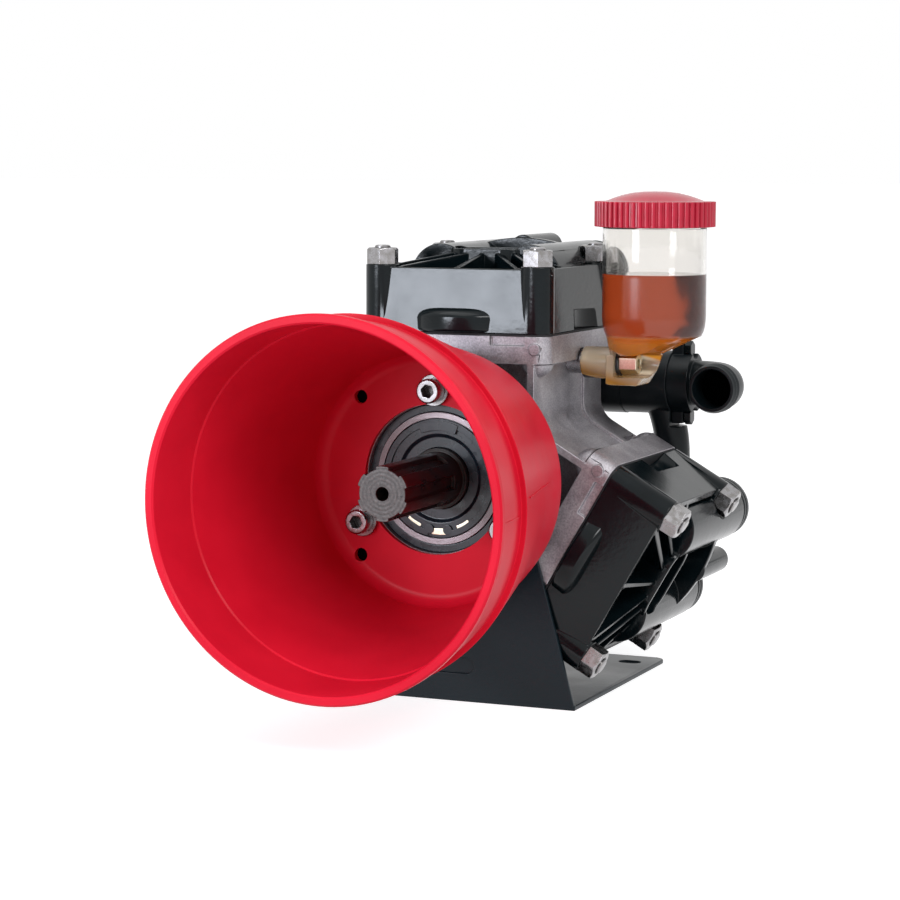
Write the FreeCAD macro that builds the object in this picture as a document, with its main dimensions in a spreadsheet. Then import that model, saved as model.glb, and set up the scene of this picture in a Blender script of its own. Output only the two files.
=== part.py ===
import FreeCAD, Part
import math
import os
import re

import Sketcher

# Three-cylinder diaphragm pump on its foot, with the splined drive shaft in a cup-shaped guard.
# Millimetres. X is to the right seen from the shaft end, Y goes from the shaft end to the back,
# Z is up. The origin is on the floor, in the middle of the foot's four slots.

doc = FreeCAD.newDocument("diaphragm_pump")
sheet = doc.addObject("Spreadsheet::Sheet", "Sizes")
V = FreeCAD.Vector
TURN = FreeCAD.Rotation

ALONG = {
    "x": TURN(V(0, 1, 0), 90),
    "y": TURN(V(1, 0, 0), -90),
    "z": TURN(),
}

SIZES = [
    ("shaft_height", 150, "shaft axis above the floor"),
    ("casing_front", -90, "front face of the crankcase along Y"),
    ("head_middle", -24, "middle plane of the three heads along Y"),
    ("core_radius", 62, "round middle of the casting"),
    ("cover_joint", 5, "joint between crankcase and rear cover along Y"),
    ("ridge_width", 6, "raised edge of the crankcase at the joint"),
    ("ridge_proud", 2, "how far the raised edges stand out"),
    ("ridge_step", 3, "rear cover's raised edge behind the joint"),
    ("cover_half", 55, "half width of a rear cover's arm"),
    ("cover_gap", 0.4, "gap between the rear cover and a head flange"),
    ("cover_back", 45, "back face of the rear cover along Y"),
    ("cover_rise", 5, "raised middle of the rear cover"),
    ("boss_room", 1.5, "room round a stud's boss in the rear cover"),
    ("boss_room_low", 60, "lower end of that room from the shaft axis"),
    ("neck_half", 57, "half width of each neck"),
    ("neck_bend", 18, "hollow bend between two necks"),
    ("neck_wall", 5, "side wall of a neck beside its front pocket"),
    ("pocket_depth", 34, "depth of the pocket in a neck's front"),
    ("pocket_low", 45, "lower end of a neck's pocket from the shaft axis"),
    ("flange_low", 74, "underside of a head flange from the shaft axis"),
    ("head_base", 93.4, "top of a head flange from the shaft axis"),
    ("mark_across", 57, "round marks on a flange from its middle"),
    ("mark_reach", 84, "round marks from the shaft axis"),
    ("mark_radius", 4, "radius of a round mark"),
    ("mark_proud", 0.8, "how far a round mark stands out"),
    ("pry_across", 26, "start of a pry pocket from the flange's middle"),
    ("pry_width", 24, "width of a pry pocket"),
    ("pry_low", 86, "lower edge of a pry pocket from the shaft axis"),
    ("pry_depth", 3, "depth of a pry pocket"),
    ("bolt_half", 55, "half the spacing of a head's studs"),
    ("column_radius", 11, "corner columns round the studs"),
    ("boss_low", 65, "lower end of a stud's boss on the casting"),
    ("sheet_thick", 1.2, "diaphragm between flange and head"),
    ("sheet_inset", 0.5, "the diaphragm's edge stands back by this"),
    ("head_top", 135.3, "rim of a head from the shaft axis"),
    ("column_top", 137, "seat of the nuts from the shaft axis"),
    ("head_wall", 5, "thickness of a head's walls"),
    ("wall_inset", 0.5, "a head's walls stand back from the columns at the foot"),
    ("wall_lean", 4.5, "a head's walls stand back from the columns at the rim"),
    ("dish_middle", 8.5, "dish in a head's side wall behind the head's middle"),
    ("dish_high", 107, "upper end of the dish from the shaft axis"),
    ("dish_depth", 8, "depth of the dish"),
    ("head_floor", 113, "floor between the ribs from the shaft axis"),
    ("loop_half", 12, "end bends of the oval boss from the middle"),
    ("loop_radius", 16, "radius of the oval boss"),
    ("loop_wall", 3, "wall of the oval boss"),
    ("loop_floor", 124, "floor inside the oval boss from the shaft axis"),
    ("hub_top", 146.5, "top of the middle boss from the shaft axis"),
    ("rib_thick", 3, "ribs of a head"),
    ("rib_foot", 43, "foot of the slanted ribs from the middle"),
    ("rib_side", 18, "side ribs ahead of the head's middle"),
    ("arch_top", 152, "highest point of the rear arch from the shaft axis"),
    ("arch_radius", 105, "radius of the rear arch"),
    ("arch_thick", 6, "thickness of the rear arch wall"),
    ("arch_set", 2, "arch stands back from the columns"),
    ("pin_radius", 9, "round boss behind the arch"),
    ("pin_reach", 145, "round boss from the shaft axis"),
    ("pin_end", 90, "back end of the round boss along Y"),
    ("port_half", 32.5, "valve chambers from the middle of a head"),
    ("port_reach", 128, "valve chambers from the shaft axis"),
    ("port_radius", 21.5, "outer radius of a valve chamber"),
    ("port_front", 34, "front end of the valve chambers ahead of Y zero"),
    ("port_end", 95, "back end of the valve chambers along Y"),
    ("cap_inset", 0.5, "a valve cap is this much smaller than its chamber"),
    ("groove_inset", 2.5, "depth of the groove ahead of a valve cap"),
    ("groove_width", 3, "width of that groove"),
    ("cap_length", 15, "screwed cap on a valve chamber"),
    ("lobe_radius", 38.8, "half round lobe at a head's foot"),
    ("lobe_height", 13, "height of the lobe"),
    ("lobe_low", 95, "lower edge of the lobe from the shaft axis"),
    ("lobe_round", 4.5, "sloping upper edge of the lobe"),
    ("lobe_reach", 8, "how far the lobe stands out"),
    ("nut_flats", 19, "head nuts across flats"),
    ("nut_height", 10.8, "height of a head nut"),
    ("nut_room", 12, "room round a head nut"),
    ("stud_radius", 5.2, "head studs"),
    ("stud_proud", 1.8, "stud end above its nut"),
    ("boss_radius", 72, "front bearing boss of the crankcase"),
    ("guard_face", -120, "front face of the guard's back disc along Y"),
    ("guard_plate", 4, "thickness of the guard's back disc"),
    ("guard_reach", 173.7, "front lip ahead of the back disc"),
    ("guard_step", 129, "step on the guard's outside ahead of the back disc"),
    ("guard_band", 111, "outer radius of the front band at the step"),
    ("guard_shoulder", 114.5, "outer radius behind the step"),
    ("guard_crease", 36, "crease on the outside ahead of the back disc"),
    ("guard_waist", 93.2, "outer radius at the crease"),
    ("guard_mouth", 110, "inner radius of the guard at the lip"),
    ("guard_throat", 108, "inner radius at the step"),
    ("guard_floor", 83, "inner radius at the back disc"),
    ("guard_fillet", 6, "hollow bend between wall and back disc"),
    ("lip_band", 6, "width of the thick lip"),
    ("lip_edge", 1, "chamfer of the lip"),
    ("lip_drop", 1.6, "the band behind the lip is smaller by this"),
    ("guard_back", 86.5, "outer radius of the guard at the back"),
    ("guard_lip", 116.6, "outer radius of the lip"),
    ("guard_hole", 49, "hole in the guard's back disc"),
    ("guard_screws", 58.2, "pitch radius of the guard's screws"),
    ("small_holes", 52, "small holes in the back disc from the axis, each way"),
    ("small_hole_radius", 4.5, "radius of the small holes"),
    ("shaft_radius", 17.4, "shaft over the splines"),
    ("spline_root", 14.7, "shaft between the splines"),
    ("spline_width", 8.6, "width of a spline"),
    ("shaft_end", -202, "front end of the shaft along Y"),
    ("spline_length", 76, "length of the splines"),
    ("centre_bore", 4.3, "radius of the centre bore"),
    ("journal_radius", 20, "shaft inside the seal"),
    ("lip_radius", 27, "outer radius of the seal's lip"),
    ("lip_depth", 2, "the lip stands back by this"),
    ("lip_slope", 2, "slope beside the lip"),
    ("running_gap", 0.05, "radial running clearance"),
    ("seal_outer", 39.2, "outer radius of the shaft seal"),
    ("ring_outer", 43.4, "outer radius of the bearing ring"),
    ("seat_outer", 48.6, "outer radius of the black seat"),
    ("foot_width", 176, "width of the foot"),
    ("foot_length", 188, "length of the foot"),
    ("foot_plate", 3, "foot sheet thickness"),
    ("foot_taper", 29.6, "the front plate is narrower by this at each upper corner"),
    ("foot_round", 8, "rounded rear corners of the foot"),
    ("foot_notch_rise", 24, "slot in the front plate above the floor"),
    ("foot_notch_width", 34, "width of that slot"),
    ("foot_notch_height", 10, "height of that slot"),
    ("foot_screw_across", 30, "foot screws from the middle"),
    ("foot_screw_drop", 76, "foot screws below the shaft axis"),
    ("foot_screw_flats", 16, "foot screws across flats"),
    ("foot_screw_head", 6.5, "height of a foot screw's head"),
    ("foot_boss", 9, "boss behind a foot screw"),
    ("foot_rise", 108, "height of the foot's front plate"),
    ("slot_x", 138, "spacing of the foot slots across"),
    ("slot_y", 142, "spacing of the foot slots along"),
    ("slot_width", 10, "width of a foot slot"),
    ("slot_length", 16, "length of a foot slot"),
    ("ring_plane", 74, "suction ring along Y"),
    ("ring_middle", 98, "suction ring's middle line from the shaft axis"),
    ("ring_tube", 12, "radius of the suction ring's tube"),
    ("inlet_rise", 52, "suction inlet above the shaft axis"),
    ("inlet_radius", 22, "suction inlet body"),
    ("inlet_face", 99, "inlet flange face from the middle"),
    ("elbow_flange", 15, "thickness of the elbow's flange"),
    ("elbow_flange_radius", 21, "radius of the elbow's flange"),
    ("elbow_bend", 25, "bend radius of the elbow"),
    ("hose_outer", 15.6, "outer radius of the hose tail"),
    ("hose_bore", 13.4, "bore radius of the hose tail"),
    ("hose_tail", 19, "straight length of the hose tail"),
    ("cup_x", 116, "oil cup from the middle"),
    ("cup_radius", 34.2, "outer radius of the oil cup"),
    ("cup_wall", 2.2, "wall of the oil cup"),
    ("cup_knee", 104, "where the cup starts to round in, above the shaft axis"),
    ("cup_fall", 91, "where the bowl turns into the funnel, above the shaft axis"),
    ("cup_waist", 31.5, "outer radius of the bowl at the funnel"),
    ("cup_round", 97, "round edge of the bowl above the shaft axis"),
    ("cup_round_radius", 33.6, "outer radius at that height"),
    ("funnel_foot", 78, "foot of the funnel above the shaft axis"),
    ("funnel_floor", 5.4, "thickness of the funnel's floor"),
    ("funnel_radius", 16.5, "outer radius of the funnel's foot"),
    ("funnel_x", 103, "funnel's foot from the middle"),
    ("cup_mouth", 162, "top edge of the cup above the shaft axis"),
    ("oil_level", 131.5, "oil level above the shaft axis"),
    ("banjo_rise", 72, "cup bolt above the shaft axis"),
    ("banjo_radius", 10.6, "cup's horizontal tube"),
    ("banjo_start", 68, "left end of the cup's tube"),
    ("banjo_end", 92, "right end of the cup's tube"),
    ("stem_low", 58, "foot of the cup's stem above the shaft axis"),
    ("stem_foot", 109, "right end of the stem's underside"),
    ("stem_knee", 115, "right side of the stem at its knee"),
    ("stem_knee_rise", 9, "height of the knee above the stem's underside"),
    ("stem_right", 119.4, "right side of the stem at the funnel"),
    ("stem_half", 12, "half width of the cup's stem"),
    ("bolt_bore", 5, "radius of the cup's bolt"),
    ("bolt_head", 14, "length of the bolt's head"),
    ("cup_washer_radius", 8.6, "washer under the cup bolt's head"),
    ("bolt_room", 9.6, "room round the cup bolt's head in the stem"),
    ("spacer_radius", 7.7, "cup spacer"),
    ("spacer_room", 1.5, "room round the spacer in the head flange"),
    ("bolt_flats", 13, "cup bolt across flats"),
    ("bolt_gap", 0.3, "clearance round the cup's bolt"),
    ("bolt_key", 3, "radius of the hole in the cup bolt's head"),
    ("bolt_key_depth", 4, "depth of that hole"),
    ("cap_radius", 39.8, "oil cup's cap"),
    ("cap_rise", 0.3, "lower edge of the cap above the cup's edge"),
    ("cap_rim", 16.7, "height of the cap's rim"),
    ("cap_dome", 6.5, "rise of the cap's dome"),
    ("cap_edge", 4, "bend between the cap's side and its dome"),
    ("cap_edge_rise", 1, "rise of that bend"),
    ("cap_crown", 22, "radius where the dome gets flat"),
    ("cover_hub", 45, "raised middle of the rear cover"),
    ("seat_depth", 12, "depth of the bearing's seat in the boss"),
    ("seat_recess", 4, "bearing seat behind the boss face"),
    ("ring_proud", 1, "bearing ring ahead of its seat"),
    ("through", 1, "a cutting tool runs past a face by this"),
    ("bearing_bore", 25, "bore round the shaft behind the seal"),
    ("shaft_seat", 60, "depth of the shaft bore from the boss face"),
    ("journal_start", 2, "start of the journal behind the boss face"),
    ("centre_depth", 24, "depth of the centre bore"),
    ("screw_radius", 5, "guard screws"),
    ("screw_gap", 0.4, "clearance round a screw"),
    ("screw_grip", 16, "screw in the casting"),
    ("screw_head_radius", 8, "socket head of a guard screw"),
    ("screw_head_height", 10, "height of the socket head"),
    ("screw_key", 8, "hexagon socket across flats"),
    ("screw_key_depth", 5.6, "depth of the hexagon socket"),
    ("washer_radius", 10.5, "washer under a guard screw"),
    ("washer_thick", 2, "thickness of a washer"),
    ("seat_gap", 0.2, "gap at a curved seat"),
    ("stub_radius", 9, "stub from the suction ring to a chamber"),
    ("inlet_start", 62, "inner end of the inlet body from the middle"),
    ("inlet_wall", 6, "closed inner end of the inlet's bore"),
    ("stub_start", 92, "inner end of a stub from the shaft axis"),
    ("delivery_radius", 42, "hub of the delivery star"),
    ("delivery_thick", 10, "thickness of the delivery star"),
    ("delivery_arm", 20, "width of an arm of the star"),
    ("outlet_radius", 15, "outlet of the delivery star"),
    ("outlet_bore", 9, "bore of the outlet"),
    ("outlet_length", 22, "length of the outlet"),
    ("ear_thick", 8, "ears of the elbow's flange"),
    ("ear_width", 14, "width of the ears"),
    ("ear_reach", 28, "reach of the ears from the inlet's axis"),
    ("elbow_bolt_flats", 10, "elbow bolts across flats"),
    ("elbow_bolt_height", 5, "height of an elbow bolt's head"),
    ("elbow_bolt_room", 6.7, "spot face round an elbow bolt"),
    ("elbow_bolt_across", 23.5, "elbow bolts from the inlet's axis"),
    ("barb_root", 0.4, "a barb starts below the tail's surface by this"),
    ("barb_proud", 1.4, "a barb stands out by this"),
    ("barb_length", 5, "length of a barb"),
    ("barb_step", 6, "spacing of the barbs"),
    ("cup_neck", 33, "outer radius of the cup's threaded neck"),
    ("cup_collar", 13, "height of the cup's threaded neck"),
    ("oil_gap", 0.1, "gap between the oil and the cup"),
    ("cap_gap", 0.3, "gap between cap and neck"),
    ("stem_left", 86.5, "left side of the cup's stem"),
]

for row, (alias, number, note) in enumerate(SIZES, 1):
    sheet.set("A%d" % row, alias)
    sheet.set("B%d" % row, str(number))
    sheet.setAlias("B%d" % row, alias)
    sheet.set("C%d" % row, note)
doc.recompute()
S = {alias: number for alias, number, note in SIZES}
WORDS = re.compile(r"\b(%s)\b" % "|".join(sorted(S, key=len, reverse=True)))


def bind(thing, prop, formula):
    thing.setExpression(prop, WORDS.sub(r"Sizes.\1", formula))


def place(thing, at, turn=None):
    thing.Placement = FreeCAD.Placement(V(), turn or TURN())
    for axis, formula in zip("xyz", at):
        if formula != "0":
            bind(thing, "Placement.Base." + axis, formula)
    return thing


def box(name, size, at, turn=None):
    thing = doc.addObject("Part::Box", name)
    for prop, formula in zip(("Length", "Width", "Height"), size):
        bind(thing, prop, formula)
    return place(thing, at, turn)


def cylinder(name, radius, length, at, along="z"):
    thing = doc.addObject("Part::Cylinder", name)
    bind(thing, "Radius", radius)
    bind(thing, "Height", length)
    return place(thing, at, ALONG[along])


def cone(name, low, high, length, at, along="z"):
    thing = doc.addObject("Part::Cone", name)
    bind(thing, "Radius1", low)
    bind(thing, "Radius2", high)
    bind(thing, "Height", length)
    return place(thing, at, ALONG[along])


def hexagon(name, flats, length, at, along="z"):
    thing = doc.addObject("Part::Prism", name)
    thing.Polygon = 6
    bind(thing, "Circumradius", "(%s) / sqrt(3)" % flats)
    bind(thing, "Height", length)
    return place(thing, at, ALONG[along])


def torus(name, middle, tube, at, along="z"):
    thing = doc.addObject("Part::Torus", name)
    bind(thing, "Radius1", middle)
    bind(thing, "Radius2", tube)
    return place(thing, at, ALONG[along])


def fused(name, parts):
    thing = doc.addObject("Part::MultiFuse", name)
    thing.Shapes = parts
    return thing


def cut(name, base, tools):
    thing = doc.addObject("Part::Cut", name)
    thing.Base = base
    thing.Tool = tools[0] if len(tools) == 1 else fused(name + "_tools", tools)
    return thing


def common(name, first, second):
    thing = doc.addObject("Part::Common", name)
    thing.Base = first
    thing.Tool = second
    return thing


def together(name, parts):
    thing = doc.addObject("Part::Compound", name)
    thing.Links = parts
    return thing


def origin_plane(body, role):
    return next(item for item in body.Origin.OriginFeatures if item.Role == role)


def outline(body, role, points, offset=None):
    sketch = body.newObject("Sketcher::SketchObject", body.Name + "_outline")
    sketch.AttachmentSupport = [(origin_plane(body, role), "")]
    sketch.MapMode = "FlatFace"
    if offset:
        bind(sketch, "AttachmentOffset.Base.z", offset)
    around = [2 * math.pi * k / len(points) for k in range(len(points))]
    rough = [V(S["guard_reach"] + S["cup_x"] * math.cos(t), S["cup_x"] * math.sin(t), 0) for t in around]
    for k in range(len(points)):
        sketch.addGeometry(Part.LineSegment(rough[k], rough[(k + 1) % len(points)]))
    for k in range(len(points)):
        sketch.addConstraint(Sketcher.Constraint("Coincident", k, 2, (k + 1) % len(points), 1))
    for k, (across, up) in enumerate(points):
        for kind, formula in (("DistanceX", across), ("DistanceY", up)):
            index = sketch.addConstraint(Sketcher.Constraint(kind, -1, 1, k, 1, 1.0))
            bind(sketch, "Constraints[%d]" % index, formula)
    return sketch


def turned(label, points, middle=None):
    body = doc.addObject("PartDesign::Body", label)
    sketch = outline(body, "XY_Plane", points)
    spin = body.newObject("PartDesign::Revolution", label + "_turned")
    spin.Profile = sketch
    spin.ReferenceAxis = (sketch, ["V_Axis"])
    spin.Angle = 360
    place(body, middle or ("0", "0", "shaft_height"))
    return body


def padded(label, role, points, length, offset=None):
    body = doc.addObject("PartDesign::Body", label)
    sketch = outline(body, role, points, offset)
    pad = body.newObject("PartDesign::Pad", label + "_pad")
    pad.Profile = sketch
    bind(pad, "Length", length)
    return body


def upright(label, points, middle):
    body = doc.addObject("PartDesign::Body", label)
    sketch = outline(body, "XZ_Plane", points)
    spin = body.newObject("PartDesign::Revolution", label + "_turned")
    spin.Profile = sketch
    spin.ReferenceAxis = (sketch, ["V_Axis"])
    spin.Angle = 360
    place(body, middle)
    return body


HEADS = (("top", 0), ("right", 120), ("left", -120))
CORNERS = [(u, y) for u in ("-bolt_half", "bolt_half") for y in ("-bolt_half", "bolt_half")]
SIDES = ("-", "")
BOSS_FACE = "guard_face + guard_plate"
SPOTS = [("guard_screws * cos(%d deg)" % angle, "guard_screws * sin(%d deg)" % angle)
         for angle in (90, 210, 330)]


def about_axis(thing, angle):
    """Turn a finished shape about the shaft's line."""
    thing.Placement = FreeCAD.Placement(V(), TURN(V(0, 1, 0), angle))
    return thing


def at_head(thing, angle):
    return place(thing, ("0", "0", "shaft_height"), TURN(V(0, 1, 0), angle))


def on_axis(thing):
    return place(thing, ("0", "0", "shaft_height"))


def rounded_square(name, inset, low, high):
    """Square with the studs' columns as its corners, lying across a head's axis."""
    reach = "(bolt_half + column_radius - %s)" % inset
    radius = "column_radius - %s" % inset
    length = "%s - (%s)" % (high, low)
    wide = box(name + "_wide", ("2 * " + reach, "2 * bolt_half", length),
               ("-" + reach, "head_middle - bolt_half", low))
    deep = box(name + "_deep", ("2 * bolt_half", "2 * " + reach, length),
               ("-bolt_half", "head_middle - " + reach, low))
    corners = [cylinder("%s_corner%d" % (name, k), radius, length, (u, "head_middle + " + y, low))
               for k, (u, y) in enumerate(CORNERS)]
    return fused(name, [wide, deep] + corners)


def three_arms(name, half, reach, start, length, bend):
    """Prism with an arm towards each head and a hollow bend between the arms."""
    parts = [cylinder(name + "_core", "core_radius", length, ("0", start, "0"), "y")]
    for key, angle in HEADS:
        arm = box("%s_%s" % (name, key), ("2 * (%s)" % half, length, reach), ("-(%s)" % half, start, "0"))
        parts.append(about_axis(together("%s_%s_arm" % (name, key), [arm]), angle))
        corner = "(%s) / sin(60 deg)" % half
        deep = "(%s) / (2 * tan(60 deg)) + column_radius" % bend
        block = box("%s_%s_block" % (name, key), (bend, length, deep),
                    ("-(%s) / 2" % bend, start, corner + " - column_radius"))
        scoop = cylinder("%s_%s_scoop" % (name, key), bend, "%s + 2 * through" % length,
                         ("0", "%s - through" % start, "%s + (%s) / sin(60 deg)" % (corner, bend)), "y")
        parts.append(about_axis(cut("%s_%s_web" % (name, key), block, [scoop]), angle + 60))
    return fused(name, parts)


# Crankcase: one light-alloy casting with three necks, a square flange on each for a head,
# bosses for the studs, and the round bearing boss that carries the guard.


MARKED = {"top": ("-", ""), "right": ("-",), "left": ("",)}


def neck_flange(key, angle):
    name = "neck_" + key
    flange = rounded_square(name + "_flange", "0", "flange_low", "(head_base - sheet_thick)")
    parts = [flange]
    for k, (u, y) in enumerate(CORNERS):
        ball = doc.addObject("Part::Sphere", "%s_ball%d" % (name, k))
        bind(ball, "Radius", "column_radius")
        parts.append(place(ball, (u, "head_middle + " + y, "boss_low + column_radius")))
    for k, side in enumerate(MARKED[key]):
        parts.append(cylinder("%s_mark%d" % (name, k), "mark_radius", "mark_radius + mark_proud",
                              (side + "mark_across", "casing_front - mark_proud", "mark_reach"), "y"))
    return about_axis(fused(name, parts), angle)


def neck_cuts(key, angle):
    name = "neck_" + key
    pocket = box(name + "_pocket", ("2 * (neck_half - neck_wall)", "pocket_depth + through",
                                    "flange_low - pocket_low"),
                 ("neck_wall - neck_half", "casing_front - through", "pocket_low"))
    return about_axis(together(name + "_pocket_turn", [pocket]), angle)


def flange_cuts(key, angle):
    name = "flange_" + key
    tools = []
    for k, start in enumerate(("-pry_across - pry_width", "pry_across")):
        tools.append(box("%s_pry%d" % (name, k), ("pry_width", "pry_depth + through", "head_base - pry_low"),
                         (start, "casing_front - through", "pry_low")))
    return about_axis(together(name + "_cuts", tools), angle)


trunk = three_arms("necks", "neck_half", "flange_low", "casing_front", "cover_joint - casing_front",
                   "neck_bend")
hollowed = cut("necks_hollowed", trunk, [neck_cuts(key, angle) for key, angle in HEADS])
core = cylinder("casing_core", "core_radius", "cover_joint - casing_front", ("0", "casing_front", "0"), "y")
ridge = three_arms("case_ridge", "neck_half + ridge_proud", "flange_low", "cover_joint - ridge_width",
                   "ridge_width", "neck_bend - ridge_proud")
front_boss = cylinder("casing_boss", "boss_radius", "casing_front - guard_face - guard_plate + pry_depth",
                      ("0", BOSS_FACE, "0"), "y")
foot_bosses = [cylinder("foot_boss%d" % k, "foot_boss", "pocket_depth + through",
                        (side + "foot_screw_across", "casing_front", "-foot_screw_drop"), "y")
               for k, side in enumerate(SIDES)]
casting = fused("casting", [hollowed, core, ridge, front_boss] + foot_bosses
                + [neck_flange(key, angle) for key, angle in HEADS])
seat_bore = cylinder("seat_bore", "seat_outer", "seat_depth", ("0", BOSS_FACE, "0"), "y")
shaft_bore = cylinder("shaft_bore", "bearing_bore", "shaft_seat", ("0", BOSS_FACE, "0"), "y")
screw_bores = [cylinder("screw_bore%d" % k, "screw_radius + screw_gap", "screw_grip",
                        (across, BOSS_FACE, up), "y")
               for k, (across, up) in enumerate(SPOTS)]
spacer_notch = cylinder("spacer_notch", "spacer_radius + spacer_room", "banjo_start - neck_half",
                        ("neck_half", "head_middle", "banjo_rise"), "x")
crankcase = on_axis(cut("crankcase", casting, [seat_bore, shaft_bore, spacer_notch] + screw_bores
                        + [flange_cuts(key, angle) for key, angle in HEADS]))

# Rear cover: closes the casting from behind with three arms and a raised round middle, and has
# a raised edge of its own beside that of the crankcase.


def boss_rooms(key, angle):
    tools = [cylinder("boss_room_%s%d" % (key, k), "column_radius + boss_room", "flange_low - boss_room_low",
                      (side + "bolt_half", "head_middle + bolt_half", "boss_room_low"))
             for k, side in enumerate(SIDES)]
    return about_axis(together("boss_rooms_" + key, tools), angle)


cover_body = three_arms("cover_body", "cover_half", "flange_low - cover_gap", "cover_joint",
                        "cover_back - cover_joint", "neck_bend")
cover_ridge = three_arms("cover_ridge", "cover_half + ridge_proud", "flange_low - cover_gap",
                         "cover_joint + ridge_step", "ridge_width", "neck_bend - ridge_proud")
cover_disc = cylinder("cover_disc", "cover_hub", "cover_back + cover_rise - cover_joint",
                      ("0", "cover_joint", "0"), "y")
rear_cover = on_axis(cut("rear_cover", fused("cover_blank", [cover_body, cover_ridge, cover_disc]),
                         [boss_rooms(key, angle) for key, angle in HEADS]))

# Front bearing: black seat, bright bearing ring and the black shaft seal, one in another.

bearing_seat = turned("bearing_seat", [
    ("ring_outer", BOSS_FACE + " + seat_recess"),
    ("seat_outer", BOSS_FACE + " + seat_recess"),
    ("seat_outer", BOSS_FACE + " + seat_depth"),
    ("ring_outer", BOSS_FACE + " + seat_depth"),
])
bearing_ring = turned("bearing_ring", [
    ("seal_outer", BOSS_FACE + " + seat_recess - ring_proud"),
    ("ring_outer", BOSS_FACE + " + seat_recess - ring_proud"),
    ("ring_outer", BOSS_FACE + " + seat_depth"),
    ("seal_outer", BOSS_FACE + " + seat_depth"),
])
shaft_seal = turned("shaft_seal", [
    ("journal_radius + running_gap", BOSS_FACE + " + seat_recess + lip_depth"),
    ("lip_radius", BOSS_FACE + " + seat_recess + lip_depth"),
    ("lip_radius + lip_slope", BOSS_FACE + " + seat_recess"),
    ("seal_outer", BOSS_FACE + " + seat_recess"),
    ("seal_outer", BOSS_FACE + " + seat_depth"),
    ("journal_radius + running_gap", BOSS_FACE + " + seat_depth"),
])

# Drive shaft: six splines on the free end, a plain journal under the seal, a centre bore.

journal = cylinder("shaft_journal", "journal_radius", "shaft_seat - journal_start - through",
                   ("0", BOSS_FACE + " + journal_start", "0"), "y")
root = cylinder("shaft_root", "spline_root", BOSS_FACE + " + journal_start - shaft_end + through",
                ("0", "shaft_end", "0"), "y")
keys = []
for k, angle in enumerate((30, 90, 150)):
    bar = box("spline%d" % k, ("2 * (shaft_radius + through)", "spline_length", "spline_width"),
              ("-shaft_radius - through", "shaft_end", "-spline_width / 2"))
    keys.append(about_axis(together("spline_turn%d" % k, [bar]), angle))
envelope = cylinder("spline_envelope", "shaft_radius", "spline_length", ("0", "shaft_end", "0"), "y")
splines = common("splines", fused("spline_bars", keys), envelope)
collar = cylinder("shaft_collar", "shaft_radius",
                  BOSS_FACE + " + journal_start - shaft_end - spline_length + through",
                  ("0", "shaft_end + spline_length", "0"), "y")
centre = cylinder("shaft_centre", "centre_bore", "centre_depth", ("0", "shaft_end - through", "0"), "y")
pto_shaft = on_axis(cut("pto_shaft", fused("shaft_blank", [journal, root, splines, collar]), [centre]))

# Guard: a moulded red cup round the shaft with a thick lip, a step half way and a flat back disc,
# held by three socket screws on washers.

guard_shell = turned("guard_shell", [
    ("guard_hole", "guard_face"),
    ("guard_floor - guard_fillet", "guard_face"),
    ("guard_floor - guard_fillet * (1 - sin(30 deg))", "guard_face - guard_fillet * (1 - cos(30 deg))"),
    ("guard_floor - guard_fillet * (1 - sin(60 deg))", "guard_face - guard_fillet * (1 - cos(60 deg))"),
    ("guard_floor", "guard_face - guard_fillet"),
    ("guard_throat", "guard_face - guard_step"),
    ("guard_mouth", "guard_face - guard_reach + lip_band"),
    ("guard_mouth + lip_edge", "guard_face - guard_reach"),
    ("guard_lip - lip_edge", "guard_face - guard_reach"),
    ("guard_lip", "guard_face - guard_reach + lip_edge"),
    ("guard_lip", "guard_face - guard_reach + lip_band - lip_edge"),
    ("guard_lip - lip_drop", "guard_face - guard_reach + lip_band"),
    ("guard_band", "guard_face - guard_step"),
    ("guard_shoulder", "guard_face - guard_step"),
    ("guard_waist", "guard_face - guard_crease"),
    ("guard_back", BOSS_FACE),
    ("guard_hole", BOSS_FACE),
])
guard_cuts = [cylinder("guard_screw_hole%d" % k, "screw_radius + screw_gap", "guard_plate + 2 * through",
                       (across, "guard_face - through", "shaft_height + " + up), "y")
              for k, (across, up) in enumerate(SPOTS)]
for k, (across, up) in enumerate(((-1, -1), (-1, 1), (1, -1), (1, 1))):
    guard_cuts.append(cylinder("guard_small_hole%d" % k, "small_hole_radius", "guard_plate + 2 * through",
                               ("%d * small_holes" % across, "guard_face - through",
                                "shaft_height + %d * small_holes" % up), "y"))
pto_guard = cut("pto_guard", guard_shell, guard_cuts)


def guard_screw(k, across, up):
    head_start = "guard_face - washer_thick - screw_head_height"
    knob = cylinder("screw_head%d" % k, "screw_head_radius", "screw_head_height",
                    (across, head_start, up), "y")
    shank = cylinder("screw_shank%d" % k, "screw_radius", "washer_thick + guard_plate + screw_grip - through",
                     (across, "guard_face - washer_thick", up), "y")
    socket = hexagon("screw_socket%d" % k, "screw_key", "screw_key_depth + through",
                     (across, head_start + " - through", up), "y")
    return cut("guard_screw%d" % k, fused("screw_blank%d" % k, [knob, shank]), [socket])


def guard_washer(k, across, up):
    disc = cylinder("washer_disc%d" % k, "washer_radius", "washer_thick",
                    (across, "guard_face - washer_thick", up), "y")
    hole = cylinder("washer_hole%d" % k, "screw_radius + screw_gap", "washer_thick + 2 * through",
                    (across, "guard_face - washer_thick - through", up), "y")
    return cut("guard_washer%d" % k, disc, [hole])


guard_screws = on_axis(together("guard_screws", [guard_screw(k, *spot) for k, spot in enumerate(SPOTS)]))
guard_washers = on_axis(together("guard_washers", [guard_washer(k, *spot) for k, spot in enumerate(SPOTS)]))

# Heads: black covers with columns round the studs, walls that lean in, ribs that rise to an oval
# boss, an arched rear wall, two valve chambers that run out to the back and a lobe at the foot.

WALL_LINE = "(bolt_half + column_radius - wall_lean - head_wall / 2)"


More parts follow.
